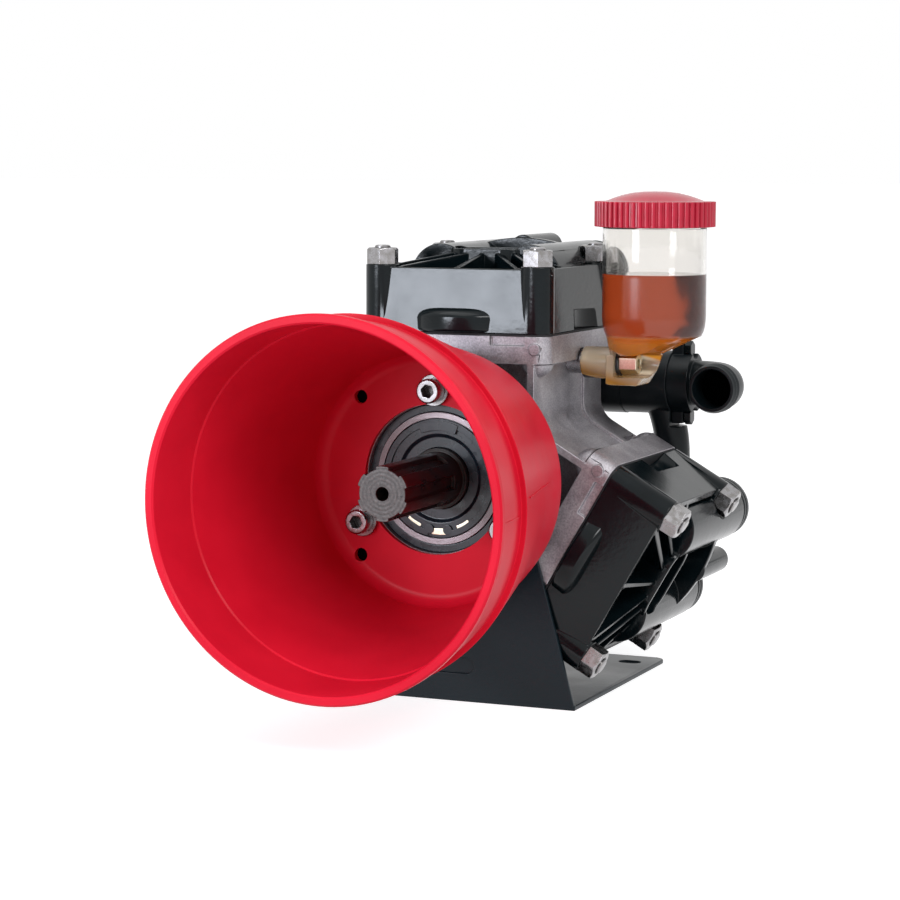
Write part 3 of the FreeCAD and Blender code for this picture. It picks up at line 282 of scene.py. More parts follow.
# Powder-coated steel: baked on thickly, so it shines softly and has an orange peel of about 2 mm.
powder, tree, shader, place = new_look("powder_coated_steel", {"Specular IOR Level": 0.25})
cloud = add(tree, "ShaderNodeTexNoise", {"Scale": 14.0, "Detail": 4.0}, {"Vector": place})
tone = add(tree, "ShaderNodeValToRGB", {}, {"Fac": cloud.outputs["Fac"]})
tone.color_ramp.elements[0].color = linear("#08141A")
tone.color_ramp.elements[1].color = linear("#111F27")
tree.links.new(tone.outputs["Color"], shader.inputs["Base Color"])
scuff = add(tree, "ShaderNodeMapRange", {"From Min": 0.35, "From Max": 0.75, "To Min": 0.27, "To Max": 0.42},
            {"Value": cloud.outputs["Fac"]})
tree.links.new(scuff.outputs[0], shader.inputs["Roughness"])
peel = add(tree, "ShaderNodeTexNoise", {"Scale": 520.0, "Detail": 2.0}, {"Vector": place})
skin = add(tree, "ShaderNodeBump", {"Strength": 0.22, "Distance": 0.0004}, {"Height": peel.outputs["Fac"]})
tree.links.new(skin.outputs[0], shader.inputs["Normal"])
build = bmesh.new()
slot = arc((SLOT_REACH, SLOT_RISE), SLOT_RADIUS, -90, 90, 16)
slot += arc((-SLOT_REACH, SLOT_RISE), SLOT_RADIUS, 90, 270, 16)
# Painted shade: a thin black floor closes the slot at the back, in place of the shade behind the plate.
slab(build, slot, *SLOT_SHADE_FLOOR, turn_about(90, "X"))
foot = with_more(rounded(copied("foot_bracket", "foot_sheet"), 0.7), shaped("slot_floor", build))
dressed(foot, powder, "black_sheet", "body", "foot_bracket")

# Crankcase and rear cover: two pressure die castings in aluminium alloy, shot-blasted and left
# bare. They meet at a joint behind the heads, with a raised edge on each side of it, and four lugs
# at the front stand behind the guard's small holes.

SHAFT_HEIGHT = 150
ALONG_SHAFT = Matrix.Translation((0, 0, SHAFT_HEIGHT)) @ turn_about(-90, "X")
SMALL_HOLES = 52
AT_SMALL_HOLES = [Matrix.Translation((across, 0, up)) @ ALONG_SHAFT
                  for across in (-SMALL_HOLES, SMALL_HOLES) for up in (-SMALL_HOLES, SMALL_HOLES)]
LUG = [(0, -115.9), (7.4, -115.9), (8, -115.3), (8, -104), (0, -104)]
LUG_FACE = 116
LUG_SHADE = (5.6, 8)


def spun(build, section, steps, stand=Matrix()):
    """Turned part about z, from points of radius and height that run round its section."""
    rings = []
    for radius, height in section:
        if radius < 0.001:
            rings.append([build.verts.new(stand @ Vector((0, 0, height)))] * steps)
        else:
            turns = [2 * math.pi * k / steps for k in range(steps)]
            rings.append([build.verts.new(stand @ Vector((radius * math.cos(t), radius * math.sin(t), height)))
                          for t in turns])
    hollow = section[0][0] > 0.001
    for low, high in zip(rings, rings[1:] + rings[:1] if hollow else rings[1:]):
        skirt(build, low, high)


# Blasted die-cast alloy: dull grey with a fine grain of about 1 mm, and paler clouds of some 40 mm
# where blasting has changed the skin. Painted shade makes it black at the guard's small holes.
alloy, tree, shader, place = new_look("blasted_die_cast_aluminium", {"Metallic": 1.0})
cloud = add(tree, "ShaderNodeTexNoise", {"Scale": 24.0, "Detail": 6.0, "Roughness": 0.62}, {"Vector": place})
tone = add(tree, "ShaderNodeValToRGB", {}, {"Fac": cloud.outputs["Fac"]})
tone.color_ramp.elements[0].position = 0.32
tone.color_ramp.elements[0].color = linear("#88848A")
tone.color_ramp.elements[1].position = 0.68
tone.color_ramp.elements[1].color = linear("#BBB8BC")
speck = add(tree, "ShaderNodeTexNoise", {"Scale": 950.0, "Detail": 3.0, "Roughness": 0.7}, {"Vector": place})
fleck = add(tree, "ShaderNodeMapRange", {"From Min": 0.35, "From Max": 0.65, "To Min": 0.72, "To Max": 1.12},
            {"Value": speck.outputs["Fac"]})
grey = add(tree, "ShaderNodeMix", {"data_type": "RGBA", "blend_type": "MULTIPLY", "Factor": 1.0},
           {6: tone.outputs["Color"], 7: fleck.outputs[0]})
from_shaft = add(tree, "ShaderNodeMapping", {"Location": (0, 0, -SHAFT_HEIGHT * MM)}, {"Vector": place})
one_side = add(tree, "ShaderNodeVectorMath", {"operation": "ABSOLUTE"}, {0: from_shaft.outputs[0]})
from_hole = add(tree, "ShaderNodeVectorMath",
                {"operation": "DISTANCE", 1: (SMALL_HOLES * MM, LUG_FACE * MM, SMALL_HOLES * MM)},
                {0: one_side.outputs[0]})
# Painted shade: black round each small hole, where shade falls behind the guard.
hole_shade = add(tree, "ShaderNodeMapRange", {"From Min": LUG_SHADE[0] * MM, "From Max": LUG_SHADE[1] * MM},
           {"Value": from_hole.outputs["Value"]})
shaded_holes = add(tree, "ShaderNodeMix", {"data_type": "RGBA", 6: linear("#060606")},
             {0: hole_shade.outputs[0], 7: grey.outputs[2]})
tree.links.new(shaded_holes.outputs[2], shader.inputs["Base Color"])
wipe = add(tree, "ShaderNodeMapRange", {"From Min": 0.3, "From Max": 0.7, "To Min": 0.44, "To Max": 0.6},
           {"Value": cloud.outputs["Fac"]})
tree.links.new(wipe.outputs[0], shader.inputs["Roughness"])
skin = add(tree, "ShaderNodeBump", {"Strength": 0.5, "Distance": 0.0003}, {"Height": speck.outputs["Fac"]})
tree.links.new(skin.outputs[0], shader.inputs["Normal"])
casting = rounded(copied("crankcase", "crankcase_casting"), 0.55)
build = bmesh.new()
for spot in AT_SMALL_HOLES:
    spun(build, LUG, 40, spot)
dressed(with_more(casting, shaped("front_lugs", build)), alloy, "cast_alloy", "body", "crankcase")
dressed(rounded(copied("rear_cover", "cover_casting"), 0.55), alloy, "cast_alloy", "body", "rear_cover")

# Front bearing: a black seat pressed into the boss, a ground steel ring and a rubber shaft seal,
# held by a black spring ring. Its two eyes face each other at the bottom, where the bright cage
# shows beside them, and a thicker block stands at its top.

SEAL_FACE = -112
RING_RADII = (34.6, 38.6)
RING_THICK = 1.4
RING_HALF_GAP = 11
EYE_RADIUS = 3.2
EYE_REACH = 33.9
BLOCK_RADII = (31.4, 37.6)
BLOCK_THICK = 2.2
CAGE_RADII = (32.8, 37)
CAGE_SHOWS = ((-129, -112), (-98, -82), (-68, -52))


def band(radii, start, end, count):
    """Outline of a flat ring's part between two angles in degrees."""
    return arc((0, 0), radii[1], start, end, count) + arc((0, 0), radii[0], end, start, count)


# Oil-soaked nitrile rubber: nearly black with a bluish cast, smooth from the mould, dull in patches.
rubber, tree, shader, place = new_look("nitrile_rubber", {})
cloud = add(tree, "ShaderNodeTexNoise", {"Scale": 120.0, "Detail": 4.0}, {"Vector": place})
tone = add(tree, "ShaderNodeValToRGB", {}, {"Fac": cloud.outputs["Fac"]})
tone.color_ramp.elements[0].color = linear("#0D141A")
tone.color_ramp.elements[1].color = linear("#26323B")
tree.links.new(tone.outputs["Color"], shader.inputs["Base Color"])
film = add(tree, "ShaderNodeMapRange", {"From Min": 0.3, "From Max": 0.7, "To Min": 0.2, "To Max": 0.4},
           {"Value": cloud.outputs["Fac"]})
tree.links.new(film.outputs[0], shader.inputs["Roughness"])
dressed(rounded(copied("bearing_seat", "seat_ring"), 0.7), rubber, "black_rubber", "body", "bearing_seat")
dressed(rounded(copied("shaft_seal", "seal_disc"), 0.5), rubber, "black_rubber", "body", "shaft_seal")

# Ground bearing steel: bright, with hair-fine rings of about 0.4 mm round the shaft.
ground, tree, shader, place = new_look("ground_bearing_steel", {"Metallic": 1.0, "Roughness": 0.28})
centre = add(tree, "ShaderNodeMapping", {"Location": (0, 0, -SHAFT_HEIGHT * MM), "Scale": (1, 0, 1)},
             {"Vector": place})
rings = add(tree, "ShaderNodeTexWave",
            {"wave_type": "RINGS", "rings_direction": "SPHERICAL", "Scale": 800.0, "Distortion": 1.0},
            {"Vector": centre.outputs[0]})
tone = add(tree, "ShaderNodeValToRGB", {}, {"Fac": rings.outputs["Fac"]})
tone.color_ramp.elements[0].color = linear("#51484A")
tone.color_ramp.elements[1].color = linear("#82787A")
tree.links.new(tone.outputs["Color"], shader.inputs["Base Color"])
skin = add(tree, "ShaderNodeBump", {"Strength": 0.15, "Distance": 0.0002}, {"Height": rings.outputs["Fac"]})
tree.links.new(skin.outputs[0], shader.inputs["Normal"])
dressed(rounded(copied("bearing_ring", "ground_ring"), 0.4), ground, "bearing_steel", "body", "bearing_ring")

build = bmesh.new()
sweep = (-90 + RING_HALF_GAP, 270 - RING_HALF_GAP)
slab(build, band(RING_RADII, *sweep, 90), 0, RING_THICK)
for end in sweep:
    eye = (EYE_REACH * math.cos(math.radians(end)), EYE_REACH * math.sin(math.radians(end)))
    slab(build, arc(eye, EYE_RADIUS, 0, 345, 23), -0.1, RING_THICK + 0.1)
slab(build, band(BLOCK_RADII, 68, 112, 14), 0, BLOCK_THICK)
spring = shaped("spring_ring", build)
stand = Matrix.Translation((0, SEAL_FACE * MM, SHAFT_HEIGHT * MM)) @ turn_about(90, "X")
spring.data.transform(stand)
dressed(rounded(spring, 0.25), rubber, "black_rubber", "body")

# Bright cage steel: cream where it mirrors the light, with fine marks of 1.4 mm.
bright, tree, shader, place = new_look("bright_cage_steel", {"Metallic": 1.0, "Roughness": 0.3})
cloud = add(tree, "ShaderNodeTexNoise", {"Scale": 700.0, "Detail": 3.0}, {"Vector": place})
tone = add(tree, "ShaderNodeValToRGB", {}, {"Fac": cloud.outputs["Fac"]})
tone.color_ramp.elements[0].color = linear("#C9BFA2")
tone.color_ramp.elements[1].color = linear("#F6F0DC")
tree.links.new(tone.outputs["Color"], shader.inputs["Base Color"])
build = bmesh.new()
for start, end in CAGE_SHOWS:
    slab(build, band(CAGE_RADII, start, end, 6), -1, 0.5)
cage = shaped("bearing_cage", build)
cage.data.transform(stand)
dressed(rounded(cage, 0.3), bright, "bearing_steel", "body")

# Drive shaft: forged steel with six milled splines on its free end, turned and greased. The faces
# have gone brown with oil, and its end keeps the rings of the lathe round the centre bore.

COLLAR = [(9, -201.9), (15.4, -201.9), (15.7, -201.6), (15.7, -199.6), (9, -199.6)]
END_FACE = (-201.6, -200.8)

# Oiled steel: dark brown on the flanks, grey and speckled on the end, with turning rings 2.6 mm apart.
oiled, tree, shader, place = new_look("oiled_forged_steel", {"Metallic": 0.25, "Specular IOR Level": 0.3})
cloud = add(tree, "ShaderNodeTexNoise", {"Scale": 60.0, "Detail": 6.0, "Roughness": 0.65}, {"Vector": place})
flank = add(tree, "ShaderNodeValToRGB", {}, {"Fac": cloud.outputs["Fac"]})
flank.color_ramp.elements[0].position = 0.36
flank.color_ramp.elements[0].color = linear("#0E100F")
flank.color_ramp.elements[1].position = 0.66
flank.color_ramp.elements[1].color = linear("#33302B")
speck = add(tree, "ShaderNodeTexNoise", {"Scale": 600.0, "Detail": 3.0, "Roughness": 0.7}, {"Vector": place})
face = add(tree, "ShaderNodeValToRGB", {}, {"Fac": speck.outputs["Fac"]})
face.color_ramp.elements[0].position = 0.3
face.color_ramp.elements[0].color = linear("#434140")
face.color_ramp.elements[1].position = 0.7
face.color_ramp.elements[1].color = linear("#656260")
centre = add(tree, "ShaderNodeMapping", {"Location": (0, 0, -SHAFT_HEIGHT * MM), "Scale": (1, 0, 1)},
             {"Vector": place})
rings = add(tree, "ShaderNodeTexWave",
            {"wave_type": "RINGS", "rings_direction": "SPHERICAL", "Scale": 120.0, "Distortion": 1.5},
            {"Vector": centre.outputs[0]})
turned = add(tree, "ShaderNodeMapRange", {"To Min": 0.78, "To Max": 1.1}, {"Value": rings.outputs["Fac"]})
ringed = add(tree, "ShaderNodeMix", {"data_type": "RGBA", "blend_type": "MULTIPLY", "Factor": 1.0},
             {6: face.outputs["Color"], 7: turned.outputs[0]})
along = add(tree, "ShaderNodeSeparateXYZ", {}, {"Vector": place})
end = add(tree, "ShaderNodeMapRange",
          {"From Min": END_FACE[0] * MM, "From Max": END_FACE[1] * MM, "To Min": 1.0, "To Max": 0.0},
          {"Value": along.outputs["Y"]})
tint = add(tree, "ShaderNodeMix", {"data_type": "RGBA"},
           {0: end.outputs[0], 6: flank.outputs["Color"], 7: ringed.outputs[2]})
tree.links.new(tint.outputs[2], shader.inputs["Base Color"])
skin = add(tree, "ShaderNodeBump", {"Strength": 0.1, "Distance": 0.0003}, {"Height": rings.outputs["Fac"]})
tree.links.new(skin.outputs[0], shader.inputs["Normal"])
grease = add(tree, "ShaderNodeMapRange", {"From Min": 0.3, "From Max": 0.7, "To Min": 0.22, "To Max": 0.46},
             {"Value": cloud.outputs["Fac"]})
tree.links.new(grease.outputs[0], shader.inputs["Roughness"])
build = bmesh.new()
spun(build, COLLAR, 96, ALONG_SHAFT)
shaft = with_more(rounded(copied("pto_shaft", "splined_shaft"), 0.5), shaped("shaft_collar", build))
dressed(shaft, oiled, "oiled_steel", "shaft", "pto_shaft")

# Guard: a cup injection-moulded in red polyethylene, with a thick lip, a step half way along its
# outside and a flat back. Three socket screws on washers hold it to the crankcase's boss.

GUARD_FACE = -120
GUARD_SECTION = [
    (49, 0), (74.4, 0), (76.9, -0.35), (79.2, -1.4), (81.1, -3), (82.4, -4.9), (83.2, -7.2),
    (107.6, -128.4), (108.6, -129.4), (110, -167.7), (110.6, -172.6), (111.7, -173.7), (115.4, -173.7),
    (116.6, -172.4), (116.6, -169), (116.2, -168.2), (115, -167.6), (111, -129.6), (111.4, -129.1),
    (114.1, -129), (114.5, -128.6), (112.9, -121),
    (93.2, -36), (88.9, -10.2), (88.4, -9.6), (86.1, 4), (49, 4)]
SEAMS = ((-4, [(90.5, -30), (92.6, -30), (93.8, -36), (112.8, -118), (111, -118)]),
         (1, [(110, -131), (111.7, -131), (115.3, -166), (113.5, -166)]))
SEAM_HALF = 0.4
SMALL_HOLE = [(0, -124), (4.5, -124), (4.5, -112), (0, -112)]


def carved(thing, tool, operation="DIFFERENCE"):
    """Cuts one mesh with another, joins them or keeps what they share."""
    step = thing.modifiers.new("carve", "BOOLEAN")
    step.operation = operation
    step.solver = "EXACT"
    step.object = tool
    settled(thing)
    bpy.data.objects.remove(tool)
    return thing


build = bmesh.new()
spun(build, [(radius, GUARD_FACE + height) for radius, height in GUARD_SECTION], 144, ALONG_SHAFT)
guard = shaped("guard_cup", build)
build = bmesh.new()
for spot in AT_SMALL_HOLES:
    spun(build, SMALL_HOLE, 32, spot)
carved(guard, shaped("guard_small_holes", build))
build = bmesh.new()
for turn, outline in SEAMS:
    side = turn_about(turn, "Z") @ turn_about(90, "X") @ Matrix.Translation((0, GUARD_FACE, 0))
    slab(build, outline, -SEAM_HALF, SEAM_HALF, ALONG_SHAFT @ side)
with_more(guard, shaped("guard_seams", build))

# Red polyethylene: moulded with a polished tool, glossy and a little waxy, so that light goes in
# and the colour is full. Flow marks of some 60 mm change its gloss, and its skin ripples by 17 mm.
red, tree, shader, place = new_look("red_polyethylene", {"Specular IOR Level": 0.09})
flow = add(tree, "ShaderNodeTexNoise", {"Scale": 16.0, "Detail": 3.0}, {"Vector": place})
tone = add(tree, "ShaderNodeValToRGB", {}, {"Fac": flow.outputs["Fac"]})
tone.color_ramp.elements[0].position = 0.3
tone.color_ramp.elements[0].color = linear("#C8142B")
tone.color_ramp.elements[1].position = 0.7
tone.color_ramp.elements[1].color = linear("#D81B33")
tree.links.new(tone.outputs["Color"], shader.inputs["Base Color"])
gloss = add(tree, "ShaderNodeMapRange", {"From Min": 0.3, "From Max": 0.7, "To Min": 0.32, "To Max": 0.4},
            {"Value": flow.outputs["Fac"]})
tree.links.new(gloss.outputs[0], shader.inputs["Roughness"])
ripple = add(tree, "ShaderNodeTexNoise", {"Scale": 60.0, "Detail": 2.0}, {"Vector": place})
skin = add(tree, "ShaderNodeBump", {"Strength": 0.08, "Distance": 0.001}, {"Height": ripple.outputs["Fac"]})
tree.links.new(skin.outputs[0], shader.inputs["Normal"])
dressed(guard, red, "red_plastic", "body", "pto_guard", smooth=24)

# Guard screws and washers: three alike M10 socket screws in zinc-plated steel, each on a turned
# washer, on one circle about the shaft. The foot's hexagon screws are plated in the same way.

SCREW_CIRCLE = 58.2
SCREW_HEAD = (8, 10)
SCREW_KEY = (8, 8)
SHANK = (5, 6)
WASHER = (10.5, 2)
WASHER_BORE = 5.4


def new_pattern(name, inputs):
    """A geometry node tree with named inputs, and the node that gives their values."""
    tree = bpy.data.node_groups.new(name, "GeometryNodeTree")
    for label, kind in inputs.items():
        tree.interface.new_socket(label, in_out="INPUT", socket_type="NodeSocket" + kind)
    tree.interface.new_socket("Geometry", in_out="OUTPUT", socket_type="NodeSocketGeometry")
    return tree, add(tree, "NodeGroupInput", {})


def set_out(tree, given, points, turn):
    """Ends a pattern: the piece on each point, turned about z, made real and given its material."""
    facing = add(tree, "ShaderNodeCombineXYZ", {}, {"Z": turn})
    source = add(tree, "GeometryNodeObjectInfo", {}, {"Object": given.outputs["Piece"]})
    spread = add(tree, "GeometryNodeInstanceOnPoints", {},
                 {"Points": points, "Instance": source.outputs["Geometry"], "Rotation": facing.outputs[0]})
    real = add(tree, "GeometryNodeRealizeInstances", {}, {0: spread.outputs[0]})
    finish = add(tree, "GeometryNodeSetMaterial", {},
                 {"Geometry": real.outputs[0], "Material": given.outputs["Look"]})
    add(tree, "NodeGroupOutput", {}, {0: finish.outputs[0]})


def grown(name, tree, values):
    """Object that a pattern makes from the values of its inputs, as a plain mesh."""
    thing = placed(name, bpy.data.meshes.new(name))
    nodes = thing.modifiers.new("pattern", "NODES")
    nodes.node_group = tree
    socket = {item.name: item.identifier for item in tree.interface.items_tree if item.in_out == "INPUT"}
    for label, value in values.items():
        nodes[socket[label]] = value
    return settled(thing)


def ring_of(name, piece, look, count, radius, first, spin, seed):
    """Like pieces on a circle about z, each turned to face out, made by geometry nodes."""
    tree, given = new_pattern(name + "_ring", {
        "Piece": "Object", "Look": "Material", "Count": "Int", "Radius": "Float", "First": "Float",
        "Spin": "Float", "Seed": "Int"})
    circle = add(tree, "GeometryNodeMeshCircle", {},
                 {"Vertices": given.outputs["Count"], "Radius": given.outputs["Radius"]})
    turned = add(tree, "GeometryNodeTransform", {}, {"Geometry": circle.outputs[0]})
    start = add(tree, "ShaderNodeCombineXYZ", {}, {"Z": given.outputs["First"]})
    tree.links.new(start.outputs[0], turned.inputs["Rotation"])
    step = add(tree, "ShaderNodeMath", {"operation": "DIVIDE", 0: 2 * math.pi}, {1: given.outputs["Count"]})
    index = add(tree, "GeometryNodeInputIndex", {})
    around = add(tree, "ShaderNodeMath", {"operation": "MULTIPLY_ADD"},
                 {0: index.outputs[0], 1: step.outputs[0], 2: given.outputs["First"]})
    chance = add(tree, "FunctionNodeRandomValue", {"data_type": "FLOAT"}, {"Seed": given.outputs["Seed"]})
    extra = add(tree, "ShaderNodeMath", {"operation": "MULTIPLY_ADD"},
                {0: chance.outputs[1], 1: given.outputs["Spin"], 2: around.outputs[0]})
    set_out(tree, given, turned.outputs[0], extra.outputs[0])
    thing = grown(name, tree, {"Piece": piece, "Look": look, "Count": count, "Radius": radius * MM,
                               "First": math.radians(first), "Spin": spin, "Seed": seed})
    bpy.data.objects.remove(piece)
    return thing


# Zinc-plated steel: silvery with a faint warm and bluish play of colour over 4 mm, and painted
# shade, dark brown, in the sockets and corners.
zinc, tree, shader, place = new_look("zinc_plated_steel", {"Metallic": 1.0})
cloud = add(tree, "ShaderNodeTexNoise", {"Scale": 260.0, "Detail": 4.0}, {"Vector": place})
tone = add(tree, "ShaderNodeValToRGB", {}, {"Fac": cloud.outputs["Fac"]})
tone.color_ramp.elements[0].position = 0.3
tone.color_ramp.elements[0].color = linear("#8A8785")
tone.color_ramp.elements[1].position = 0.7
tone.color_ramp.elements[1].color = linear("#A3A2A5")
# Painted shade: occlusion turns the colour dark brown in sockets, countersinks and corners.
nook = add(tree, "ShaderNodeAmbientOcclusion", {"samples": 8, "only_local": True, "Distance": 0.007})
nook_shade = add(tree, "ShaderNodeMapRange", {"From Min": 0.25, "From Max": 0.75}, {"Value": nook.outputs["AO"]})
shaded_nooks = add(tree, "ShaderNodeMix", {"data_type": "RGBA", 6: linear("#1C1412")},
            {0: nook_shade.outputs[0], 7: tone.outputs["Color"]})
tree.links.new(shaded_nooks.outputs[2], shader.inputs["Base Color"])
wear = add(tree, "ShaderNodeMapRange", {"From Min": 0.3, "From Max": 0.7, "To Min": 0.2, "To Max": 0.34},
           {"Value": cloud.outputs["Fac"]})
tree.links.new(wear.outputs[0], shader.inputs["Roughness"])
skin = add(tree, "ShaderNodeBump", {"Strength": 0.06, "Distance": 0.0002}, {"Height": cloud.outputs["Fac"]})
tree.links.new(skin.outputs[0], shader.inputs["Normal"])


def hexagon(flats):
    """Corners of a hexagon from its width across flats."""
    corner = flats / math.sqrt(3)
    return [(corner * math.cos(math.radians(60 * k)), corner * math.sin(math.radians(60 * k)))
            for k in range(6)]


seat = GUARD_FACE - WASHER[1]
front = seat - SCREW_HEAD[1]
build = bmesh.new()
spun(build, [(0, front), (SCREW_HEAD[0] - 1, front), (SCREW_HEAD[0], front + 1), (SCREW_HEAD[0], seat - 0.4),
             (SCREW_HEAD[0] - 0.4, seat), (SHANK[0], seat), (SHANK[0], GUARD_FACE + SHANK[1]),
             (0, GUARD_FACE + SHANK[1])], 48)
screw = shaped("guard_screw_pattern", build)
build = bmesh.new()
slab(build, hexagon(SCREW_KEY[0]), front - 1, front + SCREW_KEY[1])
rounded(carved(screw, shaped("screw_key", build)), 0.25)
screws = ring_of("socket_screws", screw, zinc, 3, SCREW_CIRCLE, -90, 2.0, 3)
stand = Matrix.Translation((0, 0, SHAFT_HEIGHT * MM)) @ turn_about(-90, "X")
screws.data.transform(stand)
dressed(screws, zinc, "zinc_steel", "body", "guard_screws")
build = bmesh.new()
spun(build, [(WASHER_BORE, seat), (WASHER[0] - 0.5, seat), (WASHER[0], seat + 0.5), (WASHER[0], GUARD_FACE),
             (WASHER_BORE, GUARD_FACE)], 48)
washers = ring_of("guard_washer_set", shaped("washer_pattern", build), zinc, 3, SCREW_CIRCLE, -90, 0.0, 1)
washers.data.transform(stand)
dressed(washers, zinc, "zinc_steel", "body", "guard_washers")
dressed(rounded(copied("foot_screws", "foot_hexagon_screws"), 0.5), zinc, "zinc_steel", "body", "foot_screws")

# Diaphragms and heads: a rubber diaphragm lies under each of three heads, which are aluminium
# castings under glossy black enamel, ribbed on the outside and bolted down over the studs.

HEAD_TURNS = {"top": 0, "right": 120, "left": -120}
HEAD_MIDDLE = -24
STUD_HALF = 55
LOBE = [(0, 94.2), (37.9, 94.2), (38.9, 94.9), (39, 96.2), (39, 103.6), (38.6, 104.8), (37.7, 106.2),
        (36.4, 107.4), (34.6, 108.4), (32.4, 109.1), (30, 109.4), (0, 109.4)]
LOBE_Y = -59.2


def at_head(key, unit):
    """Moves what is drawn for the top head, with the shaft at z 0, to a head's own side."""
    return Matrix.Translation((0, 0, SHAFT_HEIGHT * unit)) @ turn_about(HEAD_TURNS[key], "Y")


# Diaphragm rubber: matt black with the weave of its cloth just showing at the cut edge.
membrane, tree, shader, place = new_look("cloth_backed_rubber", {"Roughness": 0.62, "Specular IOR Level": 0.3})
weave = add(tree, "ShaderNodeTexNoise", {"Scale": 900.0, "Detail": 2.0}, {"Vector": place})
tone = add(tree, "ShaderNodeValToRGB", {}, {"Fac": weave.outputs["Fac"]})
tone.color_ramp.elements[0].color = linear("#0A0B0C")
tone.color_ramp.elements[1].color = linear("#26262A")
tree.links.new(tone.outputs["Color"], shader.inputs["Base Color"])

# Black enamel: sprayed and baked over the casting, wet-looking, with an orange peel of about 3 mm
# and the casting's own unevenness of some 18 mm under it.
enamel, tree, shader, place = new_look("black_baked_enamel", {"Specular IOR Level": 0.23})
cloud = add(tree, "ShaderNodeTexNoise", {"Scale": 55.0, "Detail": 4.0}, {"Vector": place})
tone = add(tree, "ShaderNodeValToRGB", {}, {"Fac": cloud.outputs["Fac"]})
tone.color_ramp.elements[0].color = linear("#03080A")
tone.color_ramp.elements[1].color = linear("#0A1418")
tree.links.new(tone.outputs["Color"], shader.inputs["Base Color"])
dull = add(tree, "ShaderNodeMapRange", {"From Min": 0.3, "From Max": 0.75, "To Min": 0.13, "To Max": 0.21},
           {"Value": cloud.outputs["Fac"]})
tree.links.new(dull.outputs[0], shader.inputs["Roughness"])
peel = add(tree, "ShaderNodeTexNoise", {"Scale": 330.0, "Detail": 3.0}, {"Vector": place})
waves = add(tree, "ShaderNodeBump", {"Strength": 0.1, "Distance": 0.0008}, {"Height": cloud.outputs["Fac"]})
skin = add(tree, "ShaderNodeBump", {"Strength": 0.16, "Distance": 0.0004},
           {"Height": peel.outputs["Fac"], "Normal": waves.outputs[0]})
tree.links.new(skin.outputs[0], shader.inputs["Normal"])
for key in HEAD_TURNS:
    disc = copied("diaphragm_" + key, "membrane_" + key)
    dressed(disc, membrane, "diaphragm_rubber", "body", "diaphragm_" + key)
    build = bmesh.new()
    spun(build, LOBE, 128, at_head(key, 1) @ Matrix.Translation((0, LOBE_Y, 0)))
    head = with_more(rounded(copied("head_" + key, "enamelled_head_" + key), 0.7), shaped("head_lobe", build))
    dressed(head, enamel, "black_paint", "body", "head_" + key)

# Head nuts: cold-formed M12 hexagon nuts in zinc-plated steel on studs that end just above them,
# four to a head. Their corners are chamfered and no two stand at the same turn.

NUT_FLATS = 19
NUT_HEIGHT = 10.8
NUT_SEAT = 137
CHAMFER = 1.3
COUNTERSINK = 1.6
STUD = (5.2, 1.8)


def square_of(name, piece, look, half, seed):
    """Four like pieces at the corners of a square, each at its own turn, by geometry nodes."""
    tree, given = new_pattern(name + "_square", {
        "Piece": "Object", "Look": "Material", "Spacing": "Float", "Seed": "Int"})
    grid = add(tree, "GeometryNodeMeshGrid", {"Vertices X": 2, "Vertices Y": 2},
               {"Size X": given.outputs["Spacing"], "Size Y": given.outputs["Spacing"]})
    chance = add(tree, "FunctionNodeRandomValue", {"data_type": "FLOAT", 3: 1.05},
                 {"Seed": given.outputs["Seed"]})
    set_out(tree, given, grid.outputs["Mesh"], chance.outputs[1])
    return grown(name, tree, {"Piece": piece, "Look": look, "Spacing": 2 * half * MM, "Seed": seed})


build = bmesh.new()
slab(build, hexagon(NUT_FLATS), 0, NUT_HEIGHT)
nut = shaped("nut_pattern", build)
corner = NUT_FLATS / math.sqrt(3) + 0.1
build = bmesh.new()
spun(build, [(0, -1), (corner, -1), (corner, NUT_HEIGHT - CHAMFER), (NUT_FLATS / 2 - 0.4, NUT_HEIGHT),
             (0, NUT_HEIGHT)], 48)
carved(nut, shaped("nut_chamfer", build), "INTERSECT")
build = bmesh.new()
spun(build, [(0, NUT_HEIGHT - COUNTERSINK), (STUD[0] + 0.3, NUT_HEIGHT - COUNTERSINK),
             (STUD[0] + 1.5, NUT_HEIGHT + 0.1), (0, NUT_HEIGHT + 0.1)], 40)
carved(nut, shaped("nut_countersink", build))
rounded(nut, 0.3)
build = bmesh.new()
build.from_mesh(nut.data)
bmesh.ops.scale(build, vec=(1 / MM, 1 / MM, 1 / MM), verts=build.verts)
bpy.data.objects.remove(nut)
top = NUT_HEIGHT + STUD[1]
spun(build, [(0, 0.5), (STUD[0], 0.5), (STUD[0], top - 0.9), (STUD[0] - 0.9, top - 0.1), (STUD[0] - 2, top),
             (0, top)], 40)
nut = shaped("nut_on_stud", build)
for seed, key in enumerate(HEAD_TURNS):
    nuts = square_of("hexagon_nuts_" + key, nut, zinc, STUD_HALF, seed + 4)
    nuts.data.transform(at_head(key, MM) @ Matrix.Translation((0, HEAD_MIDDLE * MM, NUT_SEAT * MM)))
    dressed(nuts, zinc, "zinc_steel", "body", "head_nuts_" + key, smooth=30)
bpy.data.objects.remove(nut)

# Valve caps and manifolds: a screwed cap of black nylon closes each valve chamber. The suction ring
# and its inlet are nylon too, and the delivery star behind is enamelled metal.

CAP_REACH = (32.5, 128)
INLET = (74, 202)
INLET_COLLAR = [(0, 46), (18.4, 46), (21.2, 47.2), (22.5, 49.8), (22.5, 65), (0, 65)]
CAP_SECTION = [(0, 80.4), (19, 80.4), (19, 83), (20.4, 83), (21, 83.6), (21, 87), (20.3, 87.4), (20.3, 88.4),
               (21, 88.8), (21, 92.6), (20.2, 94.2), (18.6, 95), (12, 95), (11, 94.2), (0, 94.2)]

